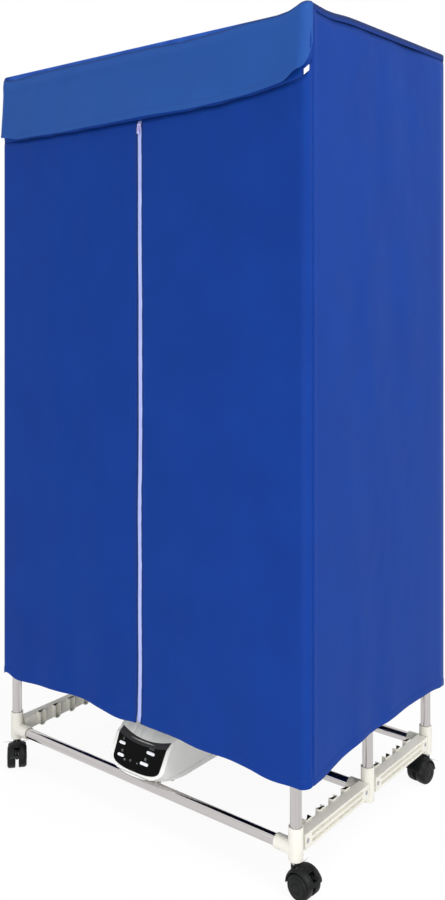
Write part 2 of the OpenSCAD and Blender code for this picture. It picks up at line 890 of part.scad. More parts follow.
// A guard of three rings and six spokes over the outlet, in a rim with a flange.
module outlet_grille() {
    top = heater_z + heater_h;
    guard_h = 3;
    ring_w = 2.4;
    hub_r = 8;
    rim_r = grille_d / 2 - 2;
    step = (rim_r - hub_r) / 4;
    color("ivory")
        translate([0, fan_at, top - guard_h]) {
            rotate_extrude()
                polygon([[rim_r, 0], [grille_d / 2, 0], [grille_d / 2, guard_h - grille_flange],
                         [grille_d / 2 + 4, guard_h - grille_flange],
                         [grille_d / 2 + 4, guard_h], [rim_r, guard_h]]);
            cylinder(h = guard_h - 0.4, r = hub_r);
            for (i = [1 : 3])
                rotate_extrude()
                    translate([hub_r + i * step - ring_w / 2, 0.4])
                        square([ring_w, guard_h - 0.8]);
            for (turn = [0 : 60 : 300])
                rotate([0, 0, turn])
                    translate([hub_r - 1, -1.5, 0.2])
                        cube([rim_r - hub_r + 2, 3, guard_h - 0.8]);
        }
}

fan_z = floor_z + motor_h + 4;

module fan_motor() {
    color("gray")
        translate([0, fan_at, floor_z]) {
            cylinder(h = motor_h, d = motor_d);
            cylinder(h = motor_h + 2, d = 14);
            cylinder(h = motor_h + 4 + 15, d = shaft_d);
        }
}

// A centrifugal fan wheel: a back plate, a hub and a ring of raked blades.
module fan_wheel() {
    color("lightgray")
        translate([0, fan_at, fan_z])
            difference() {
                union() {
                    cylinder(h = 2, d = fan_d);
                    cylinder(h = 12, d = 16);
                    for (i = [0 : blade_count - 1])
                        rotate([0, 0, 360 * i / blade_count])
                            translate([fan_d / 2 - 20, 0, 1])
                                rotate([0, 0, 35]) cube([19, 1.4, blade_h + 1]);
                }
                translate([0, 0, -1]) cylinder(h = 14, r = shaft_d / 2 + run_clear);
            }
}

// The ceramic heater: a frame that lies on the upper shell's ledges, with fins.
module heating_element() {
    w = 2 * (heater_half - shell_wall - part_clear);
    color("silver")
        translate([0, fan_at, element_z]) {
            difference() {
                translate([-w / 2, -element_l / 2, 0]) cube([w, element_l, 12]);
                translate([-w / 2 + 8, -element_l / 2 + 6, -1]) cube([w - 16, element_l - 12, 14]);
            }
            for (i = [-5 : 5])
                translate([9 * i - 0.8, -element_l / 2 + 5, 1]) cube([1.6, element_l - 10, 10]);
        }
}

module cable_gland() {
    color("dimgray")
        translate([gland_x, heater_back, gland_z]) rotate([90, 0, 0])
            difference() {
                union() {
                    translate([0, 0, -10]) cylinder(h = 10, d = gland_d - 2);
                    translate([0, 0, -3]) cylinder(h = 3, d = gland_d + 6);
                    cylinder(h = shell_wall, d = gland_d);
                    translate([0, 0, shell_wall]) cylinder(h = 3, d = gland_d + 5, $fn = 6);
                }
                translate([0, 0, -11]) cylinder(h = 20, d = gland_bore);
            }
}

module heater_screws() {
    color("gray")
        for (at = screw_places)
            translate([at[0], at[1], heater_z - 2]) {
                cylinder(h = 2, d = screw_head_d, $fn = 32);
                cylinder(h = split_h + 10, d = screw_d - 2 * socket_clear, $fn = 32);
            }
}

// COVER

side_in = post_x + side_gap;
front_in = -post_y - front_gap;
back_in = post_y + back_gap;
corner_x = side_in - corner_r;
seam_gap = 0.3;
hinge_x = corner_x - 1;
return_x = hinge_x + seam_gap / 2;
door_edge = hinge_x - seam_gap / 2;
roof_z = frame_h + part_clear;
flap_low_z = frame_h - flap_h;
door_top = flap_low_z - flap_gap;
hem_z = 187;
side_hem_z = 190;

// The front hem's height: a shallow arch that lifts at the left corner and hangs
// lower right of the zip, lowest near the right corner.
function front_hem(x) =
    let (u = x / hinge_x)
    hem_z - 15 * pow(u, 2) - 7 * exp(-pow((u + 0.13) / 0.11, 2))
    + 10 * exp(-pow((1 + u) / 0.06, 2)) - 9.5 * exp(-pow((u - 0.22) / 0.48, 4))
    - 7 * exp(-pow((u - 0.85) / 0.1, 2));

// The side hem's height: level, with a dip near each end.
function side_hem(y) =
    side_hem_z - 15 * exp(-pow((y - front_in - 25) / 80, 2))
    - 8 * exp(-pow((back_in - 4 - y) / 45, 2));

// A closed sheet of cloth. outer and inner are grids of points: rows run up, and
// columns run to the right as seen from outside.
module cloth_sheet(outer, inner) {
    rows = len(outer);
    cols = len(outer[0]);
    back = rows * cols;
    points = concat([for (row = outer, p = row) p], [for (row = inner, p = row) p]);
    cells = [for (i = [0 : rows - 2], j = [0 : cols - 2]) i * cols + j];
    faces = concat(
        [for (a = cells) each [[a, a + cols, a + cols + 1], [a, a + cols + 1, a + 1]]],
        [for (a = cells) each [[back + a, back + a + cols + 1, back + a + cols],
                               [back + a, back + a + 1, back + a + cols + 1]]],
        [for (j = [0 : cols - 2]) each strip(j, j + 1, back)],
        [for (j = [0 : cols - 2])
            each strip((rows - 1) * cols + j + 1, (rows - 1) * cols + j, back)],
        [for (i = [0 : rows - 2]) each strip((i + 1) * cols, i * cols, back)],
        [for (i = [0 : rows - 2])
            each strip(i * cols + cols - 1, (i + 1) * cols + cols - 1, back)]);
    polyhedron(points, faces);
}

// The two triangles that close the sheet's edge from point a to point b.
function strip(a, b, back) = [[a, b, back + b], [a, back + b, back + a]];

door_rows = [0, 0.04, 0.1, 0.2, 0.4, 0.7, 0.88, 1];

// The front face of a door at x and z. span is the distance from the zip to the
// hinge. The cloth hangs inward toward the zip and waves near its hem and its top.
function door_face(x, z, span) =
    let (away = abs(x - zip_x) / span,
         inward = zip_sag * pow(1 - away, 2),
         still = sin(180 * min(away, 1)),
         low = fold_depth * sin(360 * x / 118) * exp(-(z - hem_z) / 150),
         high = fold_depth / 2 * sin(360 * x / 70) * exp(-(door_top - z) / 90))
    front_in - cloth_t + inward - still * (low + high) / 2;

module door(from, to, side) {
    n = 12;
    span = hinge_x - side * zip_x;
    grid = [for (t = door_rows) [for (j = [0 : n])
        let (x = from + (to - from) * j / n, low = front_hem(x),
             z = low + (door_top - low) * t)
        [x, door_face(x, z, span), z]]];
    color("royalblue")
        cloth_sheet(grid, [for (row = grid) [for (p = row) p + [0, cloth_t, 0]]]);
}

module door_left() {
    door(-door_edge, zip_x - zip_w / 2, -1);
}

module door_right() {
    door(zip_x + zip_w / 2, door_edge, 1);
}

zip_y = front_in - cloth_t + zip_sag - 0.6;
zip_low = front_hem(zip_x) + 4;

// Half of the zip's teeth and tape, from the door's edge to the middle of the zip.
module zip_half(side) {
    color("lavender")
        translate([zip_x + side * (zip_w / 4 + 0.1), zip_y + 1, (zip_low + door_top) / 2])
            cube([zip_w / 2 - 0.2, 2, door_top - zip_low], center = true);
}

slider_w = 8.4;
slider_h = 13;
slider_t = 2;
slider_z = door_top - slider_h / 2;
lug_w = 2.6;
pull_pin_d = 1.2;
pull_y = zip_y - part_clear - slider_t - 1.6;
pull_z = slider_z - 1;
pull_l = 10.5;

module zip_slider() {
    back_y = zip_y - part_clear;
    color("lavender")
        difference() {
            union() {
                translate([zip_x, back_y, slider_z]) rotate([90, 0, 0])
                    linear_extrude(slider_t)
                        polygon([[-slider_w / 2, slider_h / 2], [-slider_w / 2, 0],
                                 [-slider_w / 3, -slider_h / 2], [slider_w / 3, -slider_h / 2],
                                 [slider_w / 2, 0], [slider_w / 2, slider_h / 2]]);
                translate([zip_x - lug_w / 2, pull_y - 1.4, pull_z - 2.5])
                    cube([lug_w, back_y - pull_y + 1, 5]);
            }
            translate([zip_x, pull_y, pull_z]) rotate([0, 90, 0])
                cylinder(h = 2 * lug_w, r = pull_pin_d / 2 + run_clear, center = true, $fn = 32);
        }
}

module zip_pull() {
    arm_x = lug_w / 2 + part_clear;
    color("lavender")
        translate([zip_x, pull_y, pull_z]) {
            rotate([0, 90, 0])
                cylinder(h = 2 * arm_x + 1, d = pull_pin_d, center = true, $fn = 32);
            for (side = [-1, 1])
                translate([side * (arm_x + 0.6) - 0.6, -0.7, -6]) cube([1.2, 1.4, 7]);
            translate([-arm_x - 1.2, -0.7, -pull_l])
                cube([2 * arm_x + 2.4, 1.4, pull_l - 5]);
        }
}

// The right side panel in plan at a distance outside its inner face, from the
// front return round both corners to the back return.
function side_path(off) =
    let (r = corner_r + off, front_c = front_in + corner_r, back_c = back_in - corner_r, n = 8)
    concat(
        [[return_x, front_in - off]],
        [for (a = [0 : 22.5 : 90]) [corner_x + r * sin(a), front_c - r * cos(a)]],
        [for (k = [1 : n - 1]) [side_in + off - 2.5 * sin(180 * k / n),
                                front_c + (back_c - front_c) * k / n]],
        [for (a = [0 : 22.5 : 90]) [corner_x + r * cos(a), back_c + r * sin(a)]],
        [[return_x, back_in + off]]);

side_rows = [0, 0.05, 0.15, 0.4, 0.75, 1];

// The side panel's grid. Its flat stretch waves a little above the hem.
function side_grid(off) =
    let (middle = side_path(0))
    [for (t = side_rows) [for (j = [0 : len(middle) - 1])
        let (p = side_path(off)[j], y = middle[j][1], low = side_hem(y),
             z = low + (roof_z - low) * t,
             flat = max(0, sin(180 * (y - front_in - 20) / (back_in - front_in - 40))),
             wave = fold_depth / 2 * flat * sin(360 * y / 130) * exp(-(z - side_hem_z) / 120))
        [p[0] + wave, p[1], z]]];

module cover_side_right() {
    color("mediumblue") cloth_sheet(side_grid(cloth_t), side_grid(0));
}

module cover_side_left() {
    mirror([1, 0, 0]) cover_side_right();
}

module cover_back() {
    n = 8;
    grid = [for (t = side_rows) [for (j = [0 : n])
        let (x = return_x * (1 - 2 * j / n),
             low = side_hem(back_in) + 6 * sin(180 * j / n))
        [x, back_in + cloth_t, low + (roof_z - low) * t]]];
    color("mediumblue")
        cloth_sheet(grid, [for (row = grid) [for (p = row) p - [0, cloth_t, 0]]]);
}

// The roof lies on the top connectors, and the strip behind the flap hangs from it.
module cover_roof() {
    r = corner_r + cloth_t;
    color("royalblue") {
        translate([0, 0, roof_z]) linear_extrude(cloth_t)
            rounded_plan(side_in + cloth_t, front_in - cloth_t, back_in + cloth_t, r);
        translate([-return_x, front_in - cloth_t, flap_low_z])
            cube([2 * return_x, cloth_t, roof_z - flap_low_z + 0.1]);
    }
}

flap_clear = 0.8;
flap_rows = [0, 0.05, 0.3, 0.6, 0.8, 0.88, 0.95, 1];

// The flap's lower edge at a distance along it from the middle: round at the left
// corner, and rising toward the right one, where it sweeps up.
function flap_edge(s) =
    flap_low_z + 24 * pow(max(0, (s / hinge_x - 0.48) / 0.48), 1.2)
    + 45 * pow(max(0, (s - corner_x + 7) / 32), 3)
    + 16 * pow(max(0, (-s - corner_x) / 23), 2);

// The flap in plan at a distance outside its inner face, round both corners. The
// third value is the distance along it from the middle.
function flap_path(off) =
    let (r = corner_r + cloth_t + flap_clear + off, n = 20, y = front_in + corner_r)
    concat(
        [for (a = [90 : -22.5 : 22.5])
            [-corner_x - r * sin(a), y - r * cos(a), -corner_x - PI / 180 * a * corner_r]],
        [for (k = [0 : n]) let (x = corner_x * (2 * k / n - 1)) [x, y - r, x]],
        [for (a = [22.5 : 22.5 : 67.5])
            [corner_x + r * sin(a), y - r * cos(a), corner_x + PI / 180 * a * corner_r]]);

// The flap stands off toward its lower edge and rolls out along its top.
function flap_grid(off) =
    [for (t = flap_rows) [for (p = flap_path(off))
        let (low = flap_edge(p[2]), top = roof_z + cloth_t, z = low + (top - low) * t,
             turn = max(-1, min(1, (p[0] - sign(p[0]) * min(abs(p[0]), corner_x))
                                   / corner_r)),
             near = 1 - abs(turn),
             out = 5.5 * pow(1 - t, 1.3) * (p[0] > 0 ? near : 1)
                   + 3 * near * exp(-pow((t - 0.88) / 0.07, 2))
                   + 1.2 * near * (1 - t) * sin(360 * p[0] / 150) - 0.16 * t)
        [p[0] + out * turn, p[1] - out * near, z]]];

module front_flap() {
    color("cornflowerblue") cloth_sheet(flap_grid(cloth_t), flap_grid(0));
}

// One base connector at corner number i.
module base_corner(i) {
    color("antiquewhite")
        base_connector(castor_xy[i][0], castor_xy[i][1], [castor_xy[i][1] < 0 ? 1 : -1]);
}

base_corner(0);  // base_connector_front_left
base_corner(1);  // base_connector_front_right
base_corner(2);  // base_connector_rear_left
base_corner(3);  // base_connector_rear_right
base_mid_connectors();
cross_tubes(base_z);  // base_tubes
base_side_bars();
lower_posts();
middle_connectors();
middle_side_bars();
upper_posts();
top_connectors();
top_side_bars();
cross_tubes(top_z);  // top_tubes
hanging_rods();
bar_screws();
castor_stems();
castor_place(0) hood(true);  // castor_hood_front_left
castor_place(0) axle();  // castor_axle_front_left
castor_place(0) wheel(1);  // wheel_front_left_1
castor_place(0) wheel(-1);  // wheel_front_left_2
castor_place(0) brake_lever();  // brake_lever_front_left
castor_place(1) hood(true);  // castor_hood_front_right
castor_place(1) axle();  // castor_axle_front_right
castor_place(1) wheel(1);  // wheel_front_right_1
castor_place(1) wheel(-1);  // wheel_front_right_2
castor_place(1) brake_lever();  // brake_lever_front_right
castor_place(2) hood(false);  // castor_hood_rear_left
castor_place(2) axle();  // castor_axle_rear_left
castor_place(2) wheel(1);  // wheel_rear_left_1
castor_place(2) wheel(-1);  // wheel_rear_left_2
castor_place(3) hood(false);  // castor_hood_rear_right
castor_place(3) axle();  // castor_axle_rear_right
castor_place(3) wheel(1);  // wheel_rear_right_1
castor_place(3) wheel(-1);  // wheel_rear_right_2
heater_lower_shell();
heater_upper_shell();
outlet_grille();
fan_motor();
fan_wheel();
heating_element();
control_panel();
circuit_board();
button(0);  // button_power
button(1);  // button_timer
button(2);  // button_heat
button(3);  // button_mode
cable_gland();
heater_screws();
cover_back();
cover_side_left();
cover_side_right();
cover_roof();
front_flap();
door_left();
door_right();
zip_half(-1);  // zip_half_left
zip_half(1);  // zip_half_right
zip_slider();
zip_pull();
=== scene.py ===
import json
import math

import bmesh
import bpy
from mathutils import Matrix, Vector, noise

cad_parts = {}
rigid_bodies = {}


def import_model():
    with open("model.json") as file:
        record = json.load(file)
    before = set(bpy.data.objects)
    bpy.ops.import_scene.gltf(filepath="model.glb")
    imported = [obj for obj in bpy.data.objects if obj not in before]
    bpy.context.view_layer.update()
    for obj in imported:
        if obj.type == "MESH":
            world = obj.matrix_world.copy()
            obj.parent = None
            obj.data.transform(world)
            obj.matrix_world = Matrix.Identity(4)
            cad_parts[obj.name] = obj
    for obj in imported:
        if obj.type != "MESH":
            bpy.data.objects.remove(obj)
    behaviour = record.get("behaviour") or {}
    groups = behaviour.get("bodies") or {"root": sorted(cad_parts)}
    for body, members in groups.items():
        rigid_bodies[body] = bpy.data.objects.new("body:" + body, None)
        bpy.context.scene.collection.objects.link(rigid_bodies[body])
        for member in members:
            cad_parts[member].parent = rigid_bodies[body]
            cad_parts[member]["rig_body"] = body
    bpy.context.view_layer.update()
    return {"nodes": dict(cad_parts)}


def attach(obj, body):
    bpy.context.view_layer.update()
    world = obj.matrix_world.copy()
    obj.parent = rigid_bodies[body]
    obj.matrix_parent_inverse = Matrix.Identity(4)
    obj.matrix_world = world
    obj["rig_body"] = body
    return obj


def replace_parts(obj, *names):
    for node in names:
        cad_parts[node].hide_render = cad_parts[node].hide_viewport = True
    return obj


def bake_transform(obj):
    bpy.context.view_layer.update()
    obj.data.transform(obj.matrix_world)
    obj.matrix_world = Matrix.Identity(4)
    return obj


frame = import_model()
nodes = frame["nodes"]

# Studio
# A pale floor, broad soft lamps and a camera at waist height that looks at the rack's
# front right corner from about two metres.
camera = bpy.data.objects.new("camera", bpy.data.cameras.new("camera"))
bpy.context.scene.collection.objects.link(camera)
camera.location = (1.157, -1.452, 0.922)
camera.rotation_euler = (math.radians(90), 0, math.radians(38.27))
camera.data.lens = 37.68
camera.data.shift_y = -0.164
bpy.context.scene.camera = camera
bpy.context.scene.view_settings.view_transform = "Standard"


def colour(hex_value):
    """An sRGB hex value as a linear colour with alpha."""
    parts = [int(hex_value[i:i + 2], 16) / 255 for i in (1, 3, 5)]
    linear = [c / 12.92 if c <= 0.04045 else ((c + 0.055) / 1.055) ** 2.4 for c in parts]
    return (*linear, 1)


def add(tree, kind, sockets=None, links=None, **settings):
    """Adds a node to tree, sets its settings and sockets, and links other nodes' outputs to it."""
    made = tree.nodes.new(kind)
    for name, value in settings.items():
        setattr(made, name, value)
    for name, value in (sockets or {}).items():
        made.inputs[name].default_value = value
    for name, source in (links or {}).items():
        tree.links.new(source, made.inputs[name])
    return made


def emptied(material):
    """The node tree of a material or world, with nothing in it."""
    material.use_nodes = True
    material.node_tree.nodes.clear()
    return material.node_tree


def sees_room(tree):
    """1 on rays from the camera, a mirror or glass, which see the pale room."""
    path = add(tree, "ShaderNodeLightPath")
    first = add(tree, "ShaderNodeMath", links={0: path.outputs["Is Camera Ray"],
                                               1: path.outputs["Is Glossy Ray"]},
                operation="MAXIMUM")
    return add(tree, "ShaderNodeMath", links={0: first.outputs[0],
                                              1: path.outputs["Is Transmission Ray"]},
               operation="MAXIMUM").outputs[0]


world = bpy.data.worlds.new("room")
bpy.context.scene.world = world
tree = emptied(world)
room = add(tree, "ShaderNodeBackground", {"Color": colour("#ffffff"), "Strength": 1})
fill = add(tree, "ShaderNodeBackground", {"Color": colour("#f8f9ff"), "Strength": 0.74})
mix = add(tree, "ShaderNodeMixShader", links={0: sees_room(tree), 1: fill.outputs[0],
                                              2: room.outputs[0]})
add(tree, "ShaderNodeOutputWorld", links={"Surface": mix.outputs[0]})

floor_glow = 0.93
floor_half = 12
floor_paint = bpy.data.materials.new("pale_studio_floor")
tree = emptied(floor_paint)
paint = add(tree, "ShaderNodeBsdfDiffuse", {"Color": colour("#f2f2f2"), "Roughness": 0.5})
glow = add(tree, "ShaderNodeEmission", {"Color": colour("#ffffff"), "Strength": 1})
share = add(tree, "ShaderNodeMath", {1: floor_glow}, {0: sees_room(tree)}, operation="MULTIPLY")
mix = add(tree, "ShaderNodeMixShader", links={0: share.outputs[0], 1: paint.outputs[0],
                                              2: glow.outputs[0]})
add(tree, "ShaderNodeOutputMaterial", links={"Surface": mix.outputs[0]})

bm = bmesh.new()
bmesh.ops.create_grid(bm, x_segments=1, y_segments=1, size=floor_half)
floor_mesh = bpy.data.meshes.new("floor")
bm.to_mesh(floor_mesh)
bm.free()
floor_mesh.materials.append(floor_paint)
floor = bpy.data.objects.new("floor", floor_mesh)
bpy.context.scene.collection.objects.link(floor)


def lamp(name, place, size, power, target=(0, 0, 0.7)):
    """A square soft lamp of size metres and power watts at place that faces target."""
    light = bpy.data.lights.new(name, "AREA")
    light.size = size
    light.energy = power
    made = bpy.data.objects.new(name, light)
    bpy.context.scene.collection.objects.link(made)
    made.location = place
    made.rotation_euler = (Vector(target) - Vector(place)).to_track_quat("-Z", "Y").to_euler()


lamp("key", (-0.8, -3.2, 3.4), 2.4, 15)
lamp("side", (2.9, -0.3, 2.8), 1.8, 66, (0.3, 0, 0.1))
lamp("overhead", (1.1, -0.2, 4.2), 1.8, 36, (0.4, 0, 0.1))
lamp("low", (1.1, -2.2, 0.45), 0.9, 20, (0.05, -0.1, 0.02))

# Posts, cross tubes and hanging rods
# Thin steel tube with bright chrome plating, cut square and pushed into the sockets.
# The CAD tubes have the right shape and stay; the plating mirrors the room, and the
# drawn tube under it leaves faint lines along its length.
tube_line = 0.0011
line_stretch = 2.2


def chromed(name, lie):
    """Chrome plating over drawn tube that lies along an axis: a mirror with faint long streaks
    and smears about 40 mm across. The real streaks are finer than any view shows, so they
    are drawn 1.1 mm apart."""
    made = bpy.data.materials.new(name)
    tree = emptied(made)
    place = add(tree, "ShaderNodeTexCoord").outputs["Object"]
    drawn = [1 / tube_line if axis != lie else line_stretch for axis in range(3)]
    along = add(tree, "ShaderNodeMapping", {"Scale": drawn}, {"Vector": place})
    lines = add(tree, "ShaderNodeTexNoise", {"Scale": 1, "Detail": 2},
                {"Vector": along.outputs[0]})
    smear = add(tree, "ShaderNodeTexNoise", {"Scale": 24, "Detail": 4}, {"Vector": place})
    tone = add(tree, "ShaderNodeMix", {6: colour("#aaa6a6"), 7: colour("#dcd8d7")},
               {0: lines.outputs["Fac"]}, data_type="RGBA")
    gloss = add(tree, "ShaderNodeMapRange", {"To Min": 0.07, "To Max": 0.17},
                {"Value": smear.outputs["Fac"]})
    skin = add(tree, "ShaderNodeBsdfPrincipled", {"Metallic": 1},
               {"Base Color": tone.outputs[2], "Roughness": gloss.outputs[0]})
    add(tree, "ShaderNodeOutputMaterial", links={"Surface": skin.outputs[0]})
    return made


cross_chrome = chromed("chromed_steel_cross_tube", 0)
post_chrome = chromed("chromed_steel_post", 2)
for node in ("base_tubes", "top_tubes", "hanging_rods"):
    nodes[node].material_slots[0].material = cross_chrome
for node in ("lower_posts", "upper_posts"):
    nodes[node].material_slots[0].material = post_chrome

# Connectors
# Sockets with an arm and a tongue, moulded in cream ABS. A moulding has no sharp edge,
# so each is a copy of its CAD solid with the edges rounded over, and the skin has the
# fine grain of a spark-eroded mould.


def moulded(name, base, pale, rough, grain_mm, grain_depth, shine=0.5):
    """Moulded plastic: a tone that drifts between two colours over about 45 mm, and a grained
    skin. The real grain is about 0.1 mm, too fine for any view, so it is drawn coarser."""
    made = bpy.data.materials.new(name)
    tree = emptied(made)
    place = add(tree, "ShaderNodeTexCoord").outputs["Object"]
    drift = add(tree, "ShaderNodeTexNoise", {"Scale": 22, "Detail": 4}, {"Vector": place})
    tone = add(tree, "ShaderNodeMix", {6: colour(base), 7: colour(pale)},
               {0: drift.outputs["Fac"]}, data_type="RGBA")
    grain = add(tree, "ShaderNodeTexNoise", {"Scale": 1000 / grain_mm, "Detail": 2},
                {"Vector": place})
    bump = add(tree, "ShaderNodeBump", {"Strength": grain_depth, "Distance": 0.0002},
               {"Height": grain.outputs["Fac"]})
    gloss = add(tree, "ShaderNodeMapRange", {"To Min": rough - 0.05, "To Max": rough + 0.07},
                {"Value": drift.outputs["Fac"]})
    skin = add(tree, "ShaderNodeBsdfPrincipled", {"IOR": 1.5, "Specular IOR Level": shine},
               {"Base Color": tone.outputs[2], "Roughness": gloss.outputs[0],
                "Normal": bump.outputs[0]})
    add(tree, "ShaderNodeOutputMaterial", links={"Surface": skin.outputs[0]})
    return made


def finished(bm, name, body, material, sharp=35):
    """A bmesh as a smooth-shaded piece on a body, or on none."""
    mesh = bpy.data.meshes.new(name)
    bm.to_mesh(mesh)
    bm.free()
    mesh.materials.append(material)
    mesh.shade_smooth()
    mesh.set_sharp_from_angle(angle=math.radians(sharp))
    made = bpy.data.objects.new(name, mesh)
    bpy.context.scene.collection.objects.link(made)
    if body:
        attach(made, body)
    return made


def rounded(node, radius, material, segments=2, steep=30):
    """A CAD node's copy with its edges rounded over by radius mm. It stands for the node."""
    bm = bmesh.new()
    bm.from_mesh(nodes[node].data)
    bmesh.ops.remove_doubles(bm, verts=bm.verts, dist=1e-6)
    bmesh.ops.dissolve_limit(bm, angle_limit=math.radians(1), verts=bm.verts, edges=bm.edges)
    made = finished(bm, node + "_rounded", nodes[node]["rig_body"], material)
    over = made.modifiers.new("rounding", "BEVEL")
    over.width = radius / 1000
    over.segments = segments
    over.limit_method = "ANGLE"
    over.angle_limit = math.radians(steep)
    over.use_clamp_overlap = False
    over.harden_normals = True
    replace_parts(made, node)
    return made


cream_abs = moulded("moulded_cream_abs", "#d3d0c2", "#e3e1d6", 0.34, 0.9, 0.1)
for node in ("base_connector_front_left", "base_connector_front_right",
             "base_connector_rear_left", "base_connector_rear_right", "base_mid_connectors",
             "middle_connectors", "top_connectors"):
    rounded(node, 0.7, cream_abs)

# Side bars
# Box bars with rod cradles on the inner face and two long slots on the outer one,
# moulded in the same cream ABS and slipped over the connectors' tongues.
for node in ("base_side_bars", "middle_side_bars", "top_side_bars"):
    rounded(node, 0.5, cream_abs)

# Screws
# Zinc-plated pan screws that hold the bars' ends and the heater's shells. Zinc plating
# is a dull blue-grey mirror with cloudy patches.


def plated(name, dark, light, rough):
    """Bare or plated metal with cloudy patches about 5 mm across in its colour and gloss."""
    made = bpy.data.materials.new(name)
    tree = emptied(made)
    place = add(tree, "ShaderNodeTexCoord").outputs["Object"]
    cloud = add(tree, "ShaderNodeTexNoise", {"Scale": 180, "Detail": 3}, {"Vector": place})
    tone = add(tree, "ShaderNodeMix", {6: colour(dark), 7: colour(light)},
               {0: cloud.outputs["Fac"]}, data_type="RGBA")
    gloss = add(tree, "ShaderNodeMapRange", {"To Min": rough * 0.7, "To Max": rough * 1.4},
                {"Value": cloud.outputs["Fac"]})
    skin = add(tree, "ShaderNodeBsdfPrincipled", {"Metallic": 1},
               {"Base Color": tone.outputs[2], "Roughness": gloss.outputs[0]})
    add(tree, "ShaderNodeOutputMaterial", links={"Surface": skin.outputs[0]})
    return made


zinc = plated("zinc_plated_steel", "#8e9196", "#c0c2c6", 0.3)
for node in ("bar_screws", "heater_screws"):
    nodes[node].material_slots[0].material = zinc

# Castors
# Twin-wheel furniture castors in black nylon on a turned steel stem. Each wheel is a
# hollow moulding with a rounded tread, a groove inside its rim and a low hub cap, and
# the two front castors have a ribbed brake pedal.

# Each castor's x and y in mm and its turn in degrees
castor_at = {"front_left": (-335, -225, -40), "front_right": (335, -225, -5),
             "rear_left": (-335, 225, 127), "rear_right": (335, 225, 261)}
castor_trail = 16
axle_height = 20.75
wheel_gap = 3.1
wheel_steps = 56
# A wheel's radii, each with the distance from its inner face in mm
wheel_profile = [(2.6, 0.6), (6.6, 0.6), (6.6, 3), (16.6, 3), (16.6, 0.4), (19.5, 0), (20.4, 0.35),
                 (20.75, 1.2), (20.75, 10.6), (20.5, 12.2), (19.8, 13.6), (18.6, 14.9),
                 (17.3, 15.6), (16.3, 15.7), (15.7, 15.1), (15.1, 15), (14.6, 15.5),
                 (10, 15.7), (8.3, 15.5), (7.8, 14.9), (7.3, 15), (6.8, 15.7), (5, 16), (0, 16)]

# Glass-filled nylon is a matt near black, and turned steel a bright satin.
black_nylon = moulded("moulded_black_nylon", "#08090a", "#101112", 0.45, 0.8, 0.16, 0.2)
stem_steel = plated("turned_steel_stem", "#9c9a98", "#cbc9c6", 0.22)
nodes["castor_stems"].material_slots[0].material = stem_steel
for corner, (x, y, turn) in castor_at.items():
    nodes["castor_axle_" + corner].material_slots[0].material = stem_steel
    rounded("castor_hood_" + corner, 0.7, black_nylon)
    castor = (Matrix.Translation((x / 1000, y / 1000, 0))
              @ Matrix.Rotation(math.radians(turn), 4, "Z"))
    for number, side in ((1, 1), (2, -1)):
        bm = bmesh.new()
        rim = [bm.verts.new((r / 1000, 0, a / 1000)) for r, a in wheel_profile]
        for first, second in zip(rim, rim[1:]):
            bm.edges.new((first, second))
        bmesh.ops.spin(bm, geom=bm.verts[:] + bm.edges[:], cent=(0, 0, 0), axis=(0, 0, 1),
                       angle=math.tau, steps=wheel_steps, use_merge=True)
        bmesh.ops.remove_doubles(bm, verts=bm.verts, dist=1e-6)
        bmesh.ops.recalc_face_normals(bm, faces=bm.faces)
        place = (castor @ Matrix.Translation((castor_trail / 1000, side * wheel_gap / 1000,
                                              axle_height / 1000))
                 @ Matrix.Rotation(math.radians(-90 * side), 4, "X"))
        bmesh.ops.transform(bm, matrix=place, verts=bm.verts)
        wheel = "wheel_{}_{}".format(corner, number)
        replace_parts(finished(bm, wheel + "_moulding", wheel, black_nylon, 50),
                    wheel)

pedal_at = (0.03372, 0, 0.03727)
pedal_rise = 15.5
ridge_reaches = (8.4, 10.2, 12.0)
ridge_height = 0.0013
ridge_size = (0.0009, 0.0074, 0.0009, 1)
for corner in ("front_left", "front_right"):
    x, y, turn = castor_at[corner]
    node = "brake_lever_" + corner
    rounded(node, 0.5, black_nylon)
    pedal = (Matrix.Translation((x / 1000, y / 1000, 0))
             @ Matrix.Rotation(math.radians(turn), 4, "Z")
             @ Matrix.Translation(pedal_at)
             @ Matrix.Rotation(math.radians(-pedal_rise), 4, "Y"))
    bm = bmesh.new()
    for reach in ridge_reaches:
        ridge = (pedal @ Matrix.Translation((reach / 1000, 0, ridge_height))
                 @ Matrix.Diagonal(ridge_size))
        bmesh.ops.create_cube(bm, size=1, matrix=ridge)
    bmesh.ops.bevel(bm, geom=bm.edges[:], offset=0.0002, segments=2, profile=0.5,
                    affect="EDGES", material=-1)
    finished(bm, "pedal_ridges_" + corner, node, black_nylon)

# Heater shells
# The lower and the upper shell, moulded in white ABS with a fine matt grain and held by
# four screws. The nose's rim round the panel is rounded, as are all outer edges.
white_abs = moulded("moulded_white_abs", "#e2e2db", "#eeeee9", 0.33, 0.7, 0.08)
rounded("heater_lower_shell", 0.6, white_abs)
rounded("heater_upper_shell", 1.4, white_abs, segments=3)
rounded("outlet_grille", 0.3, white_abs)

# Heater works
# Motor, fan wheel, heating element and board inside the shells, seen through the grille.
# The CAD solids have the right shape and stay. Drawn steel and aluminium shine softly,
# the fan's plastic is a waxy grey and the board's epoxy a glossy green.
motor_can = plated("drawn_motor_can", "#77787b", "#a2a3a5", 0.38)
fan_plastic = moulded("moulded_grey_polypropylene", "#8b8c8d", "#a3a4a4", 0.45, 0.8, 0.1)
fin_stock = plated("heater_fin_aluminium", "#a4a5a8", "#cfd0d2", 0.34)
glass_epoxy = moulded("green_glass_epoxy_board", "#0f4626", "#1b5c36", 0.35, 0.5, 0.12)
for node, look in (("fan_motor", motor_can), ("fan_wheel", fan_plastic),
                   ("heating_element", fin_stock), ("circuit_board", glass_epoxy)):
    nodes[node].material_slots[0].material = look
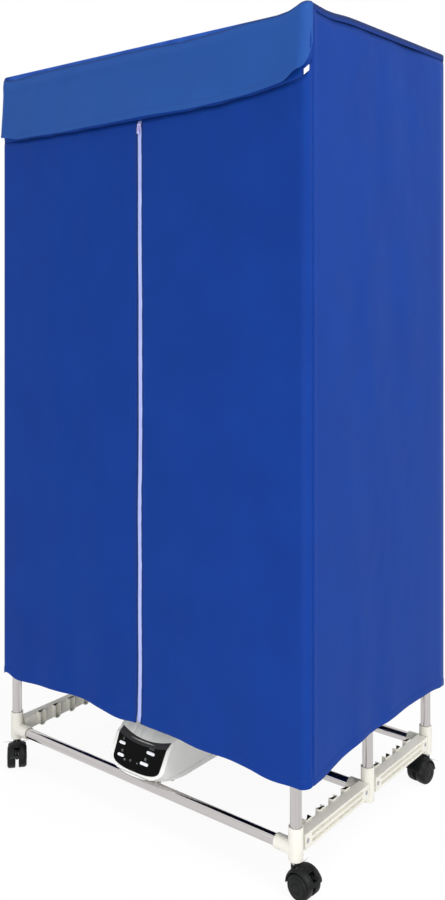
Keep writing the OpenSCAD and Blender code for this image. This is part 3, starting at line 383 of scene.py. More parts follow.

# Control panel
# A black acrylic panel laid in the nose, with four white buttons and small plain grey symbols
# printed on its face. Its flat is near black, and the chamfer along its upper edge, found by its
# upward-facing normal, has a painted highlight in dark grey.
panel_y = -235.3
panel_z = 100.8
panel_tilt = 63
panel_proud = 0.4

black_acrylic = bpy.data.materials.new("polished_black_acrylic")
tree = emptied(black_acrylic)
facing = add(tree, "ShaderNodeSeparateXYZ",
             links={0: add(tree, "ShaderNodeTexCoord").outputs["Normal"]})
chamfer_painted_highlight = add(tree, "ShaderNodeMapRange", {"From Min": 0.58, "From Max": 0.76},
              {"Value": facing.outputs["Z"]})
# Painted highlight: the upward-facing chamfer is mixed toward dark grey.
tone = add(tree, "ShaderNodeMix", {6: colour("#030304"), 7: colour("#404042")},
           {0: chamfer_painted_highlight.outputs[0]}, data_type="RGBA")
scuffs = add(tree, "ShaderNodeTexNoise", {"Scale": 60, "Detail": 4},
             {"Vector": add(tree, "ShaderNodeTexCoord").outputs["Object"]})
# Scuffs about 17 mm across break up the polish.
gloss = add(tree, "ShaderNodeMapRange", {"To Min": 0.08, "To Max": 0.2},
            {"Value": scuffs.outputs["Fac"]})
matt = add(tree, "ShaderNodeMath", {1: 0.3}, {0: chamfer_painted_highlight.outputs[0], 2: gloss.outputs[0]},
           operation="MULTIPLY_ADD")
skin = add(tree, "ShaderNodeBsdfPrincipled", {"IOR": 1.49, "Specular IOR Level": 0.08},
           {"Base Color": tone.outputs[2], "Roughness": matt.outputs[0]})
add(tree, "ShaderNodeOutputMaterial", links={"Surface": skin.outputs[0]})
# The buttons' polycarbonate is a clean glossy white, and the ink a flat grey.
button_white = moulded("moulded_white_polycarbonate", "#dfe1e4", "#f0f1f3", 0.28, 0.6, 0.04)
print_grey = moulded("printed_grey_ink", "#6f7072", "#8b8c8e", 0.5, 0.4, 0.05)
rounded("control_panel", 0.35, black_acrylic)
for key in ("power", "timer", "heat", "mode"):
    rounded("button_" + key, 0.8, button_white, segments=3)

panel = (Matrix.Translation((0, panel_y / 1000, panel_z / 1000))
         @ Matrix.Rotation(math.radians(panel_tilt), 4, "X"))
ink = 0.00012
ink_line = 0.0005


def bar(bm, x, y, length, turn):
    """A printed line of the given length in mm, centred at x and y on the panel."""
    lie = (panel @ Matrix.Translation((x / 1000, y / 1000, panel_proud / 1000))
           @ Matrix.Rotation(math.radians(turn), 4, "Z")
           @ Matrix.Diagonal((length / 1000, ink_line, ink, 1)))
    bmesh.ops.create_cube(bm, size=1, matrix=lie)


def ring(bm, x, y, r, share=1.0, start=0.0):
    """A printed ring, or a share of one, centred at x and y on the panel."""
    held = bmesh.new()
    lie = (Matrix.Translation((r / 1000, 0, 0)) @ Matrix.Diagonal((ink_line, 1, ink, 1))
           @ Matrix.Rotation(math.radians(90), 4, "X"))
    bmesh.ops.create_grid(held, x_segments=1, y_segments=1, size=0.5, matrix=lie)
    bmesh.ops.spin(held, geom=held.verts[:] + held.edges[:] + held.faces[:], cent=(0, 0, 0),
                   axis=(0, 0, 1), angle=math.tau * share, steps=24, use_merge=share == 1)
    bmesh.ops.remove_doubles(held, verts=held.verts, dist=1e-7)
    bmesh.ops.recalc_face_normals(held, faces=held.faces)
    place = (panel @ Matrix.Translation((x / 1000, y / 1000, panel_proud / 1000))
             @ Matrix.Rotation(math.radians(start), 4, "Z"))
    bmesh.ops.transform(held, verts=held.verts, matrix=place)
    mesh = bpy.data.meshes.new("ring")
    held.to_mesh(mesh)
    held.free()
    bm.from_mesh(mesh)
    bpy.data.meshes.remove(mesh)


# An open ring with a stroke, a clock, slanted bars, a dial, a star, upright bars and waves
bm = bmesh.new()
ring(bm, -42.2, 34.2, 2.0, 0.8, 126)
bar(bm, -42.2, 35.6, 2.0, 90)
ring(bm, -38.2, 14.4, 2.0)
bar(bm, -38.2, 15.2, 1.6, 90)
bar(bm, -37.6, 14.4, 1.2, 0)
for shift in (-5, -2.5, 0, 2.5, 5):
    bar(bm, 26.3 + shift, 33.6, 3.4, 62)
ring(bm, 18.6, 14.6, 2.2)
ring(bm, 18.6, 14.6, 0.8)
ring(bm, -27, 2.2, 1.5)
for turn in (0, 60, 120):
    bar(bm, -27, 2.2, 4.6, turn)
for shift in (-1.4, 0, 1.4):
    bar(bm, -14 + shift, 4, 4, 80)
for reach in (0.9, 1.8, 2.7):
    ring(bm, 3, 1.6, reach, 0.25, 45)
finished(bm, "panel_symbols", nodes["control_panel"]["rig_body"], print_grey)

# Cable gland
# A gland with a hexagon nut, moulded in black polyamide and screwed into the heater's
# rear wall. Its skin is matt, and its edges are rounded over as on the other mouldings.
gland_nylon = moulded("moulded_black_polyamide", "#17181a", "#232426", 0.48, 0.8, 0.12)
rounded("cable_gland", 0.5, gland_nylon)

# Cover
# A loose cover of plain-woven polyester taffeta, sewn from a roof, a back, two side
# panels, a strip behind the flap, the flap and two zipped doors. Each panel is a single
# sheet 0.6 mm thick, seamed at the corners and hemmed 13 mm wide at its lower edge.
cover_side = 366.2
cover_front = -239.2
cover_back = 250.2
cover_round = 14.2
cloth_thick = 0.6
corner_x = cover_side - cover_round
corner_front = cover_front + cover_round
corner_back = cover_back - cover_round
arc = cover_round * math.pi / 2
side_len = corner_back - corner_front
seam_front = corner_x + arc
seam_back = corner_x + 2 * arc + side_len


def around(s, out):
    """The cover in plan at s mm round it from the front's middle and out mm outside its face,
    with the way out of the cloth."""
    side = 1 if s >= 0 else -1
    s = abs(s)
    if s <= corner_x:
        turn, x, y = 0, s, corner_front
    elif s <= seam_front:
        turn, x, y = (s - corner_x) / cover_round, corner_x, corner_front
    elif s <= seam_front + side_len:
        turn, x, y = math.pi / 2, corner_x, corner_front + s - seam_front
    elif s <= seam_back:
        turn = math.pi / 2 + (s - seam_front - side_len) / cover_round
        x, y = corner_x, corner_back
    else:
        turn, x, y = math.pi, corner_x + seam_back - s, corner_back
    way = Vector((side * math.sin(turn), -math.cos(turn), 0))
    return Vector((side * x, y, 0)) + way * (cover_round + out), way


def ease(t):
    """A smooth step from 0 to 1 as t goes from 0 to 1."""
    t = min(1, max(0, t))
    return t * t * (3 - 2 * t)


def hill(t):
    """A smooth bump that is 1 at t = 0 and falls to 0 beyond 2 on both sides."""
    return math.exp(-t * t)


def spread(start, end, pitch):
    """Even places from start to end, both kept, about pitch apart."""
    count = max(1, round(abs(end - start) / pitch))
    return [start + (end - start) * i / count for i in range(count + 1)]


def ruckle(s, z, wide, tall, seed):
    """A smooth uneven wave between -1 and 1."""
    return 1.6 * noise.noise(Vector((s / wide, z / tall, seed)))


def cloth(bm, columns, rows, place, painted_light=None):
    """Lays a grid of cloth into bm. place gives the point in mm for a column and a row; columns
    run to the right as seen from outside, and are mm along the cloth. Rows are mm too, or
    shares of the panel's height, and the weave's UV map holds both, with mm as metres.
    The last argument gives painted shade from 0 to 1, which darkens the cloth where shade falls
    along seams and edges, and below 0 a painted highlight, which makes it pale where it catches
    the light."""
    weave = bm.loops.layers.uv.get("weave") or bm.loops.layers.uv.new("weave")
    painted_light_share = bm.verts.layers.float.get("painted_light_share") or bm.verts.layers.float.new("painted_light_share")
    made = bmesh.ops.create_grid(bm, x_segments=len(columns) - 1, y_segments=len(rows) - 1, size=1)
    flat = {}
    for vert in made["verts"]:
        column = columns[round((vert.co.x + 1) / 2 * (len(columns) - 1))]
        row = rows[round((vert.co.y + 1) / 2 * (len(rows) - 1))]
        vert.co = place(column, row) / 1000
        # Each vertex keeps its painted shade, or below 0 its painted highlight.
        vert[painted_light_share] = painted_light(column, row) if painted_light else 0
        flat[vert] = (column / 1000, row / 1000 if row > 2 else row)
    for face in {face for vert in made["verts"] for face in vert.link_faces}:
        for loop in face.loops:
            if loop.vert in flat:
                loop[weave].uv = flat[loop.vert]


def sheet(bm, name, body, material, thick=cloth_thick):
    """The cloth in bm as a piece with its thickness inside its face."""
    made = finished(bm, name, body, material, 80)
    wall = made.modifiers.new("thickness", "SOLIDIFY")
    wall.thickness = thick / 1000
    wall.offset = -1
    graph = bpy.context.evaluated_depsgraph_get()
    made.data = bpy.data.meshes.new_from_object(made.evaluated_get(graph))
    made.modifiers.clear()
    return made


def taffeta(name, deep, pale):
    """Polyester taffeta: a tight plain weave with a soft silky sheen, dye that is uneven over
    about 110 mm, and thicker threads about 70 mm long. The real threads are 0.2 mm apart,
    too fine for any view, so they are drawn 1 mm apart."""
    made = bpy.data.materials.new(name)
    tree = emptied(made)
    coordinates = add(tree, "ShaderNodeTexCoord")
    place, flat = coordinates.outputs["Object"], coordinates.outputs["UV"]
    thread_gap = 0.001
    thread = 0.314 / thread_gap  # a wave texture of scale 1 repeats every 0.314 m
    warp = add(tree, "ShaderNodeTexWave", {"Scale": thread}, {"Vector": flat}, bands_direction="X")
    weft = add(tree, "ShaderNodeTexWave", {"Scale": thread}, {"Vector": flat}, bands_direction="Y")
    weave = add(tree, "ShaderNodeMath", links={0: warp.outputs["Fac"], 1: weft.outputs["Fac"]},
                operation="MULTIPLY")
    cloud = add(tree, "ShaderNodeTexNoise", {"Scale": 9, "Detail": 5, "Roughness": 0.6},
                {"Vector": place})
    dye = add(tree, "ShaderNodeMapRange", {"From Min": 0.3, "From Max": 0.7},
              {"Value": cloud.outputs["Fac"]})
    long = add(tree, "ShaderNodeMapping", {"Scale": (900, 14, 1)}, {"Vector": flat})
    slub = add(tree, "ShaderNodeTexNoise", {"Scale": 1, "Detail": 2}, {"Vector": long.outputs[0]})
    both = add(tree, "ShaderNodeMath", {1: 0.5}, {0: dye.outputs[0]}, operation="MULTIPLY")
    part = add(tree, "ShaderNodeMath", {1: 0.5}, {0: slub.outputs["Fac"], 2: both.outputs[0]},
               operation="MULTIPLY_ADD")
    dyed = add(tree, "ShaderNodeMix", {6: colour(deep), 7: colour(pale)}, {0: part.outputs[0]},
               data_type="RGBA")
    # Painted shade and painted highlight: the cloth's attribute mixes in deep navy above 0, and
    # pale blue below 0.
    painted_light_share = add(tree, "ShaderNodeAttribute", attribute_name="painted_light_share")
    shaded = add(tree, "ShaderNodeMix", {7: colour("#16254c")},
                 {0: painted_light_share.outputs["Fac"], 6: dyed.outputs[2]}, data_type="RGBA")
    painted_highlight = add(tree, "ShaderNodeMath", {1: -1}, {0: painted_light_share.outputs["Fac"]}, operation="MULTIPLY")
    tone = add(tree, "ShaderNodeMix", {7: colour("#3a6cc4")},
               {0: painted_highlight.outputs[0], 6: shaded.outputs[2]}, data_type="RGBA")
    bump = add(tree, "ShaderNodeBump", {"Strength": 0.16, "Distance": 0.0002},
               {"Height": weave.outputs[0]})
    gloss = add(tree, "ShaderNodeMapRange", {"To Min": 0.52, "To Max": 0.66},
                {"Value": cloud.outputs["Fac"]})
    skin = add(tree, "ShaderNodeBsdfPrincipled",
               {"IOR": 1.45, "Specular IOR Level": 0.12, "Sheen Weight": 0.07,
                "Sheen Roughness": 0.35, "Sheen Tint": colour("#a9c8ff")},
               {"Base Color": tone.outputs[2], "Roughness": gloss.outputs[0],
                "Normal": bump.outputs[0]})
    add(tree, "ShaderNodeOutputMaterial", links={"Surface": skin.outputs[0]})
    return made


blue_taffeta = taffeta("woven_blue_taffeta", "#042e7a", "#0a3788")

# Roof
# The roof panel lies on the top connectors and sags a little between the tubes. Its edge
# rolls over and turns down 12 mm to the seam that holds the panels below it.
roof_top = 1373.5
roof_low = 1361
roll = 4.2
column_pitch = 22
corner_pitch = 2.8


def lift(x, y):
    """How far the roof is pulled up at x and y: to a peak at the front right corner and along
    the right edge, where it climbs to the back."""
    behind = y - cover_front
    height = 13 + 0.03 * behind - 4 * hill((y + 172) / 40) + 1.5 * hill(behind / 30)
    reach = 28 + 92 * ease(behind / 90)
    return height * hill(max(0, cover_side - x) / reach)


def roll_out(z):
    """How far the roof's rolled edge stands in from the cover's face at height z."""
    up = max(0, z - (roof_top - roll))
    return -(roll - math.sqrt(max(0, roll * roll - up * up)))


def roof_ring(s, row):
    """The turned-down border and the roll. A row from 0 to 1 is the border, to 2 the roll
    and to 3 the flat edge, as far in as the corners' centres."""
    if row <= 1:
        z = roof_low + (roof_top - roll - roof_low) * row
        point, _ = around(s, 0.5 * ruckle(s, z, 40, 30, 3.1) * (1 - row))
    elif row <= 2:
        turn = (row - 1) * math.pi / 2
        z = roof_top - roll + roll * math.sin(turn)
        point, _ = around(s, -roll * (1 - math.cos(turn)))
    else:
        z = roof_top
        point, _ = around(s, -roll - (cover_round - roll) * (row - 2))
    point.z = z + lift(point.x, point.y)
    return point


def roof_flat(x, y):
    """The roof's flat within the corners' centres, which sags most in its middle."""
    u, v = x / corner_x, (2 * y - corner_front - corner_back) / side_len
    sag = 4.5 * (1 - u * u) * (1 - v * v)
    sag += 0.8 * (1 - u * u) * (1 - v * v) * ruckle(x, y, 60, 60, 5.2)
    return Vector((x, y, roof_top - sag + lift(x, y)))


whole = 2 * (seam_back + corner_x)
left_seam = seam_back + 2 * corner_x
stops = [-corner_x, corner_x, seam_front, seam_front + side_len, seam_back,
         left_seam, left_seam + arc, left_seam + arc + side_len, whole - corner_x]
roof_columns = []
for number, (start, end) in enumerate(zip(stops, stops[1:])):
    roof_columns += spread(start, end, corner_pitch if number % 2 else column_pitch)[:-1]
roof_columns.append(whole - corner_x)


def roof_edge(s, row):
    """The roof's border all the way round, with s past the back's middle on the left."""
    return roof_ring(s if s <= whole / 2 else s - whole, row)


def roof_painted_light(s, row):
    """Painted shade darkens the border along the sides and at the front right corner, and a
    painted highlight makes it pale along the front, where the roll catches the light."""
    point = roof_edge(s, row)
    beside = max(ease((abs(point.x) - 350) / 12), ease((point.x - 225) / 40))
    front = (1 - beside) * ease((cover_front + 30 - point.y) / 20)
    edge = 1 - ease((row - 1.8) / 0.6)
    light = 0.32 * front * ease((point.x + 352) / 14) * (1 + 0.5 * ruckle(point.x, 0, 25, 1, 6.3))
    return edge * (0.85 * beside * ease((row + 0.2) / 1.2) - light)


bm = bmesh.new()
cloth(bm, roof_columns, [0, 0.3, 0.6, 1, 1.25, 1.5, 1.75, 2, 2.4, 3], roof_edge, roof_painted_light)
cloth(bm, spread(-corner_x, corner_x, column_pitch),
      spread(corner_front, corner_back, column_pitch), roof_flat)
bmesh.ops.remove_doubles(bm, verts=bm.verts, dist=2e-5)
roof = sheet(bm, "roof_panel", "rack", blue_taffeta)
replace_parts(roof, "cover_roof")

# Side and back panels
# Each side panel runs from the front corner seam round the rear corner to the back
# panel. It hangs free from the roof's seam, hollows slightly between the posts and waves
# above its hem.
side_top = 1361.5
side_low = 181
back_low = 186
both_sides = ((1, "right"), (-1, "left"))
hem_wide = 13
hem_seam = hem_wide - 0.5
# Heights of the rows above a hem's edge, close together at the stitches
fold_rows = (0, 0.8, 3, 6, 9, 11.2, 12.2, 12.8, 13.4, 14.2, 15.5, 19, 24)
# The thread is spun from the same fibre and dyed a shade darker.
thread_look = moulded("dark_blue_polyester_thread", "#102a6c", "#1a3a86", 0.6, 0.3, 0.2)


def side_hem(y):
    """The height of a side panel's lower edge at y, lowest near its front."""
    return 190 - 15 * hill((y - cover_front - 25) / 80) - 8 * hill((246 - y) / 45)


def hem_out(h):
    """How far a doubled hem stands out at h mm above the edge, pinched at its stitches."""
    return 0.7 * (1 - ease((h - hem_wide) / 1.5)) - 0.45 * hill((h - hem_seam) / 0.8)


def seam_in(d):
    """How far a panel turns in at d mm from a corner seam, past a low ridge beside it."""
    return -1.7 * hill(d / 1.6) + 1.3 * hill((d - 5.5) / 3.5)


def seam_grip(h):
    """How strongly a corner seam pulls in at h mm above the edge, where the hem spreads it."""
    return 0.25 + 0.75 * ease((h - 4) / 36)


def side_point(side, s, share):
    """A side panel at s and at a share of its height, from the hem up."""
    point, way = around(s, 0)
    y = point.y
    low, top = side_hem(y), side_top + lift(side * point.x, y)
    z = low + (top - low) * share
    between = max(0, math.sin(math.pi * min(1, max(0, (y - cover_front - 21) / 449))))
    level = math.sin(math.pi * min(1, max(0, (s - seam_front) / side_len)))
    out = (-2.5 * level
           + 2 * between * math.sin(math.tau * y / 130) * math.exp(-(z - side_low) / 120)
           + 1.3 * level * ruckle(s, z, 75, 300, 2.0 + side)
           + 0.5 * level * ruckle(s, z, 24, 60, 4.0 + side)
           + hem_out(z - low)
           + (seam_in(s - seam_front) + seam_in(seam_back - s)) * seam_grip(z - low)
           - 0.6 * ease((z - top + 5) / 5))
    point, way = around(s if side > 0 else -s, out)
    point.z = z
    return point


def hem_shares(low, top, pitch):
    """Rows from a hem's folds up to the top, as shares of the height."""
    above = spread(fold_rows[-1], top - low, pitch)[1:]
    return [h / (top - low) for h in list(fold_rows) + above]


def near_seams(start, end, pitch):
    """Columns between two seams, close together beside each."""
    near = (0, 0.8, 1.8, 3, 5, 7.5, 10.5, 14)
    middle = spread(start + near[-1], end - near[-1], pitch)[1:-1]
    return [start + d for d in near] + middle + [end - d for d in reversed(near)]


def stitches(lines, pitch=4.2, long=2.7, wide=0.75, high=0.45):
    """Thread stitches as small beads along lines, in a bmesh. A line is a function from a
    distance to a point and the way out, with its start and end in mm."""
    bm = bmesh.new()
    for line, start, end in lines:
        for at in spread(start, end, pitch)[:-1]:
            (first, way), (second, _) = line(at), line(at + long)
            run = second - first
            side = way.cross(run).normalized()
            lie = Matrix((run / 2000, side * wide / 2000, way * high / 2000)).transposed().to_4x4()
            lie.translation = ((first + second) / 2 + way * 0.1) / 1000
            bmesh.ops.create_icosphere(bm, subdivisions=1, radius=1, matrix=lie)
    return bm


side_rows = hem_shares(side_low, side_top, 13)
side_columns = sorted(set(near_seams(seam_front, seam_front + side_len + arc / 2, 11)[:-8]
                          + near_seams(seam_front + side_len - 10, seam_back, 6)[8:]))
for side, word in both_sides:
    bm = bmesh.new()
    # Painted shade darkens each side panel along its top, under the roof's edge.
    cloth(bm, side_columns, side_rows, lambda s, share: side_point(side, s, share),
          lambda s, share: 0.25 * ease((share - 0.985) / 0.015))
    if side < 0:
        bmesh.ops.reverse_faces(bm, faces=bm.faces)
    panel_cloth = sheet(bm, "side_panel_" + word, "rack", blue_taffeta)
    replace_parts(panel_cloth, "cover_side_" + word)

    def hem_line(s):
        low = side_hem(around(s, 0)[0].y)
        return side_point(side, s, hem_seam / (side_top - low)), around(s * side, 0)[1]

    thread = finished(stitches([(hem_line, seam_front + 3, seam_back - 5)]),
                      "side_hem_stitches_" + word, "rack", thread_look, 80)


def back_point(x, share):
    """The back panel at -x, seen from behind, and at a share of its height."""
    low = side_hem(cover_back) + 6 * math.sin(math.pi * (x + corner_x) / (2 * corner_x))
    top = side_top + lift(-x, cover_back)
    z = low + (top - low) * share
    level = 1 - (x / corner_x) ** 2
    out = (-1.6 * level
           + 2.2 * level * math.sin(math.tau * x / 160) * math.exp(-(z - side_low) / 150)
           + 1.6 * level * ruckle(x, z, 90, 330, 7.7) + 0.5 * level * ruckle(x, z, 26, 60, 8.8)
           + hem_out(z - low) + seam_in(corner_x - abs(x)) - 0.6 * ease((z - top + 5) / 5))
    return Vector((-x, cover_back + out, z))


def back_hem_line(x):
    return back_point(x, hem_seam / (side_top - back_low)), Vector((0, 1, 0))


bm = bmesh.new()
cloth(bm, near_seams(-corner_x, corner_x, 12), side_rows, back_point)
back_panel = sheet(bm, "back_panel", "rack", blue_taffeta)
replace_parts(back_panel, "cover_back")
thread = finished(stitches([(back_hem_line, -corner_x + 4, corner_x - 8)]),
                  "back_hem_stitches", "rack", thread_look, 80)

# Strip behind the flap
# A strip sewn under the roof's edge, from one corner seam to the other. Its lower part
# steps back behind the doors' tops.
strip_low = 1243
zip_x = 10
door_half = 351


def edge_rise(s):
    """How far the flap's lower edge, and the doors' tops behind it, climb to the right."""
    return 4.5 * ease((s + 200) / 260) + 19 * max(0, (s / door_half - 0.36) / 0.6) ** 1.9


def door_top(s):
    """The doors' upper edge, which climbs toward the right corner."""
    s = min(s, 371)
    return (strip_low - 2 + edge_rise(s)
            + 45 * max(0, (s - 345) / 32) ** 3 + 16 * max(0, (-s - corner_x) / 23) ** 2)


def zip_away(s):
    """0 at the zip and 1 at the hinge of the door at s."""
    return min(1, abs(s - zip_x) / (door_half - zip_x if s > zip_x else door_half + zip_x))


def strip_point(s, share):
    """The strip at s and at a share of its height, from its lower edge behind the doors up."""
    low = door_top(s) - 7
    top = side_top + lift(around(s, 0)[0].x, cover_front)
    z = low + (top - low) * share
    behind = 1 - ease((z - door_top(s) - 0.5) / 3)
    step = (2.4 + 4.6 * (1 - zip_away(s)) ** 2) * behind
    out = (-step + 0.5 * ruckle(s, z, 60, 50, 9.1) * (1 - behind)
           + seam_in(seam_front - abs(s)) - 0.6 * ease((z - top + 5) / 5))
    point, _ = around(s, out)
    point.z = z
    return point


bm = bmesh.new()
cloth(bm, near_seams(-seam_front, seam_front, 9),
      [0, 0.02, 0.035, 0.05, 0.06, 0.075, 0.09, 0.12] + spread(0.15, 1, 0.08), strip_point)
strip = sheet(bm, "strip_behind_flap", "rack", blue_taffeta)

# Doors
# Two front panels that meet at the zip. Each wraps its corner to the seam, hangs a little inward
# at the zip and is puckered by the zip's stitches.
zip_half_wide = 4.8
front_low = 187
door_low, door_high = 184, 1238
door_tall = 1052


def zip_sway(z):
    """The zip's small sideways sway, and its turn to the left at the lower end."""
    return 1.8 * noise.noise(Vector((z / 130, 0.4, 0))) - 2 * hill((z - 172) / 14)


def front_hem(s):
    """The height of the doors' lower edge: a long wave that is low right of the zip, and
    meets the side panels' hem at the corner seams."""
    u = s / door_half
    hem = (front_low - 15 * u * u - 7 * hill((u + 0.13) / 0.11) + 10 * hill((1 + u) / 0.06)
           - 9.5 * math.exp(-((u - 0.22) / 0.48) ** 4) - 7 * hill((u - 0.85) / 0.1))
    turned = max(0, abs(s) - corner_x) / arc
    return hem * (1 - turned) + side_hem(corner_front) * turned


def door_point(side, edge, share):
    """A door at edge mm from its edge at the zip and at a share of its height."""
    s = zip_x + side * (zip_half_wide + edge)
    low, top = front_hem(s), door_top(s)
    z = low + (top - low) * share
    away = zip_away(s)
    still = math.sin(math.pi * away)
    waves = (4 * math.sin(math.tau * s / 118) * math.exp(-(z - front_low) / 150)
             + 2 * math.sin(math.tau * s / 70) * math.exp(-max(0, door_high - z) / 90))
    pucker = math.exp(-edge / 20) * (0.35 + 0.65 * abs(ruckle(s / 9, z, 60, 130, 11 + side)))
    out = (-5 * (1 - away) ** 2 + still * waves / 2
           + 1.1 * still * ruckle(s, z, 80, 320, 12.5 + side)
           + 0.45 * min(1, 3 * still) * ruckle(s, z, 26, 70, 14.5 + side)
           + 0.9 * pucker * ruckle(edge, z, 30, 9, 16.5 + side)
           + hem_out(z - low) + seam_in(seam_front - abs(s)) * seam_grip(z - low)
           + 0.35 * (1 - ease((edge - 5.4) / 1.2)) - 0.45 * hill((edge - 6) / 0.7)
           - 0.8 * ease((z - top + 4) / 4))
    point, _ = around(s, out)
    point.x += zip_sway(z) * math.exp(-edge / 40)
    point.z = z
    return point


edge_columns = [0, 1.5, 3.5, 4.8, 5.5, 6, 6.5, 7.3, 9, 12, 16]
for side, word in both_sides:
    reach = seam_front - side * zip_x - zip_half_wide
    columns = edge_columns + spread(16, reach - 34, 7.5)[1:] + [
        reach - d for d in (30, 26, 23, 20, 17, 14, 11.5, 9, 7, 5, 3.2, 2, 1, 0)]
    rows = hem_shares(door_low, door_high, 9)
    bm = bmesh.new()
    # Painted shade darkens each door along its edge beside the zip.
    cloth(bm, columns, rows, lambda edge, share: door_point(side, edge, share),
          lambda edge, share: 0.75 * (1 - ease((edge - 0.5) / 5)))
    if side < 0:
        bmesh.ops.reverse_faces(bm, faces=bm.faces)
    door = sheet(bm, "door_panel_" + word, None, blue_taffeta)
    body = "door_" + word
    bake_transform(door)
    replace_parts(door, body)

    def lower_line(edge):
        s = zip_x + side * (zip_half_wide + edge)
        return door_point(side, edge, hem_seam / (door_top(s) - front_hem(s))), around(s, 0)[1]

    def upright_line(h):
        return door_point(side, 6, h / door_tall), Vector((0, -1, 0))

    thread = finished(stitches([(lower_line, 8, reach - 6), (upright_line, 14, door_tall - 6)]),
                      "door_stitches_" + word, None, thread_look, 80)
    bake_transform(thread)

# Zip
# A nylon coil zip on two pale lilac tapes. Each tape is sewn behind its door's edge, and
# the two coils mesh in the middle. The tapes end near the doors' hems.
tape_low = 179
tape_top = 1242.5
tape_thick = 0.45
coil_pitch = 2.0
coil_start = 4
coil_lean = 0.25
coil_turn = (0.0016, 0.0007, 0.00068, 1)
zip_face = -234.6

# The tape is woven matt, and the coil and the painted slider shine a little.
zip_tape_look = taffeta("woven_lilac_zip_tape", "#a2ade2", "#b3bef0")
coil_look = moulded("lilac_nylon_zip_coil", "#b3bdf0", "#c6d0fb", 0.38, 0.5, 0.05)


def tape_point(side, across, z):
    """A tape at across mm from the zip's middle. It lies behind the door past the door's edge,
    and is cut narrower and round at its lower end."""
    across = min(across, 4.4 + (across - 4.4) * ease((z - tape_low - 14) / 8))
    z += 2.5 * (across / 4.4) ** 2 * (1 - ease((z - tape_low) / 5))
    tucked = ease((across - 3.6) / 1.6)
    x = zip_x + side * across + zip_sway(z)
    return Vector((x, zip_face + 0.5 + 1.25 * tucked + 0.15 * ruckle(0, z, 20, 40, 18), z))


for side, word in both_sides:
    body = "door_" + word
    heights = [tape_low + h for h in (0, 1.5, 4, 8, 13, 18)] + spread(tape_low + 24, tape_top, 8)
    bm = bmesh.new()
    cloth(bm, [0.25, 1.2, 2.6, 3.6, 4.2, 4.8, 5.4, 8, 12], heights,
          lambda across, z: tape_point(side, across, z))
    if side < 0:
        bmesh.ops.reverse_faces(bm, faces=bm.faces)
    tape = sheet(bm, "zip_tape_" + word, body, zip_tape_look, tape_thick)
    bm = bmesh.new()
    for tooth in range(int((tape_top - tape_low - 6) / coil_pitch)):
        z = tape_low + coil_start + tooth * coil_pitch + (coil_pitch / 2 if side > 0 else 0)
        lie = (Matrix.Translation(((zip_x + side * 1.1 + zip_sway(z)) / 1000,
                                   (zip_face + 0.35) / 1000, z / 1000))
               @ Matrix.Rotation(side * coil_lean, 4, "Y") @ Matrix.Diagonal(coil_turn))
        bmesh.ops.create_icosphere(bm, subdivisions=1, radius=1, matrix=lie)
    coil = finished(bm, "zip_coil_" + word, body, coil_look, 80)
    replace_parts(coil, "zip_half_" + word)

slider_paint = moulded("lilac_painted_zinc_slider", "#aaa6d8", "#c4c0ea", 0.3, 0.5, 0.04)
rounded("zip_slider", 0.45, slider_paint)
rounded("zip_pull", 0.4, slider_paint)

# Flap
# The flap hangs over the doors' tops. It is sewn under the roof's roll, wraps both front corners
# and flares out toward its stitched lower edge.
flap_low = 1243
flap_round = 13
flap_left = -corner_x - flap_round * math.radians(90)
flap_right = corner_x + flap_round * math.radians(86)
flap_stitch = 9.5
# The flap is a paler copy of the same taffeta, a painted highlight for the light its
# outward-leaning face catches.
flap_painted_light_taffeta = taffeta("woven_blue_taffeta_painted_light", "#1c4688", "#254f95")


def flap_edge(s):
    """The flap's lower edge: round at the left corner, sweeping up round the right one."""
    return (flap_low + edge_rise(s)
            + 12 * ease((s - 322) / 30) + 55 * max(0, (s - corner_x) / 22) ** 2
            + 7 * ease((-s - 305) / 50) + 24 * max(0, (-s - 346) / 27) ** 3)


def flap_seam(x):
    """The height of the flap's seam: below the roll as far as x 222, and over it beyond."""
    below = 6.4 + 3 * hill((x + 320) / 60) + 2 * hill((x - 110) / 45)
    left = 0.35 + 0.65 * ease((x + 372) / 40)
    return roof_top - 1 + lift(x, cover_front) - below / (1 + math.exp((x - 222) / 14)) * left


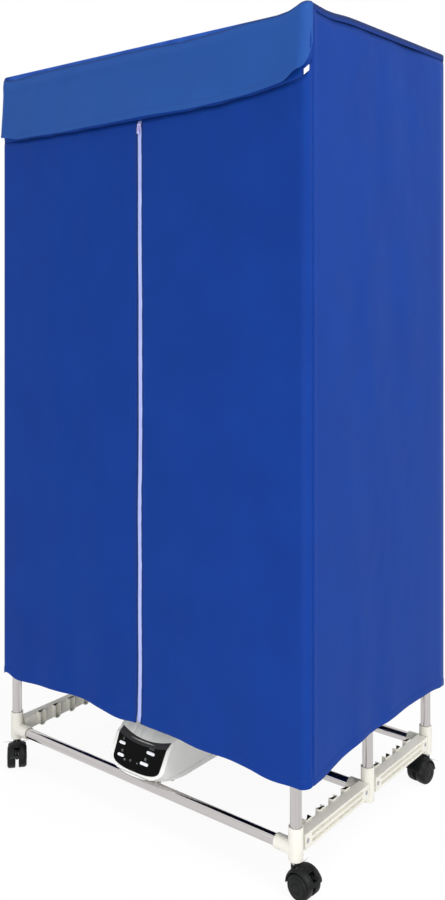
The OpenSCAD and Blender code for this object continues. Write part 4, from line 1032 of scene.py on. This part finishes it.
def flap_point(s, t):
    """The flap at s along it and t of its height, from the lower edge up."""
    low, top = flap_edge(s), flap_seam(s)
    z = low + (top - low) * t
    angle = max(0, abs(s) - corner_x) / flap_round
    plan_s = math.copysign(min(abs(s), corner_x) + angle * cover_round, s)
    near = max(0, 1 - angle)
    flare = 5.5 * (1 - t) ** 1.3 * (near if s > 0 else 1)
    h = z - low
    out = (1.5 + flare + 2.2 * near * hill((t - 0.86) / 0.08)
           + 1.2 * near * (1 - t) * math.sin(math.tau * s / 150)
           + 0.9 * near * ruckle(s, z, 55, 40, 21) * ease(t * 5) * ease((1 - t) * 5)
           + 0.6 * hill(h / 2.2) - 0.4 * hill((h - flap_stitch) / 0.8)
           + roll_out(z - lift(s, cover_front)) - 0.9 * ease((z - top + 3) / 3))
    point, _ = around(plan_s, out)
    point.z = z
    return point


def flap_line(s):
    return flap_point(s, flap_stitch / (flap_seam(s) - flap_edge(s))), around(s, 0)[1]


flap_columns = (spread(flap_left, -corner_x, 2.2)[:-1] + spread(-corner_x, corner_x - 10, 7)
                + spread(corner_x - 10, flap_right, 2)[1:])
flap_rows = ([0, 0.006, 0.014, 0.03, 0.05, 0.065, 0.072, 0.08, 0.09, 0.12]
             + spread(0.15, 0.94, 0.033) + [0.955, 0.97, 0.98, 0.99, 1])
bm = bmesh.new()
# Painted shade darkens the flap just under its seam at the roll, and further down at its right
# end.
cloth(bm, flap_columns, flap_rows, flap_point,
      lambda s, t: max(0.8 * ease((s - 225) / 40) * ease((t - 0.94) / 0.06),
                       0.7 * ease((t - 0.965) / 0.03)))
flap = sheet(bm, "flap_panel", None, flap_painted_light_taffeta)
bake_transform(flap)
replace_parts(flap, "front_flap")
thread = finished(stitches([(flap_line, flap_left + 3, flap_right - 10)]),
                  "flap_stitches", "front_flap", thread_look, 80)

# Tape end
# The folded end of a white tape that is caught in the right corner seam and shows below
# the flap's edge.
tape_end_mid = 362
tape_end_slope = 0.9
white_tape = taffeta("woven_white_tape", "#dcdce4", "#efeff4")


def tape_end_point(s, z):
    """The tape end at s and height z. It stands out a little and slopes with the flap."""
    climb = (s - tape_end_mid) * tape_end_slope
    return around(s, 1.0 + 0.4 * (z - 1272) / 14)[0] + Vector((0, 0, z + climb))


bm = bmesh.new()
cloth(bm, [358.5, 360, 362, 364, 366.5], [1275, 1278, 1281, 1284], tape_end_point)
tape_end = sheet(bm, "tape_end", "rack", white_tape, 0.5)
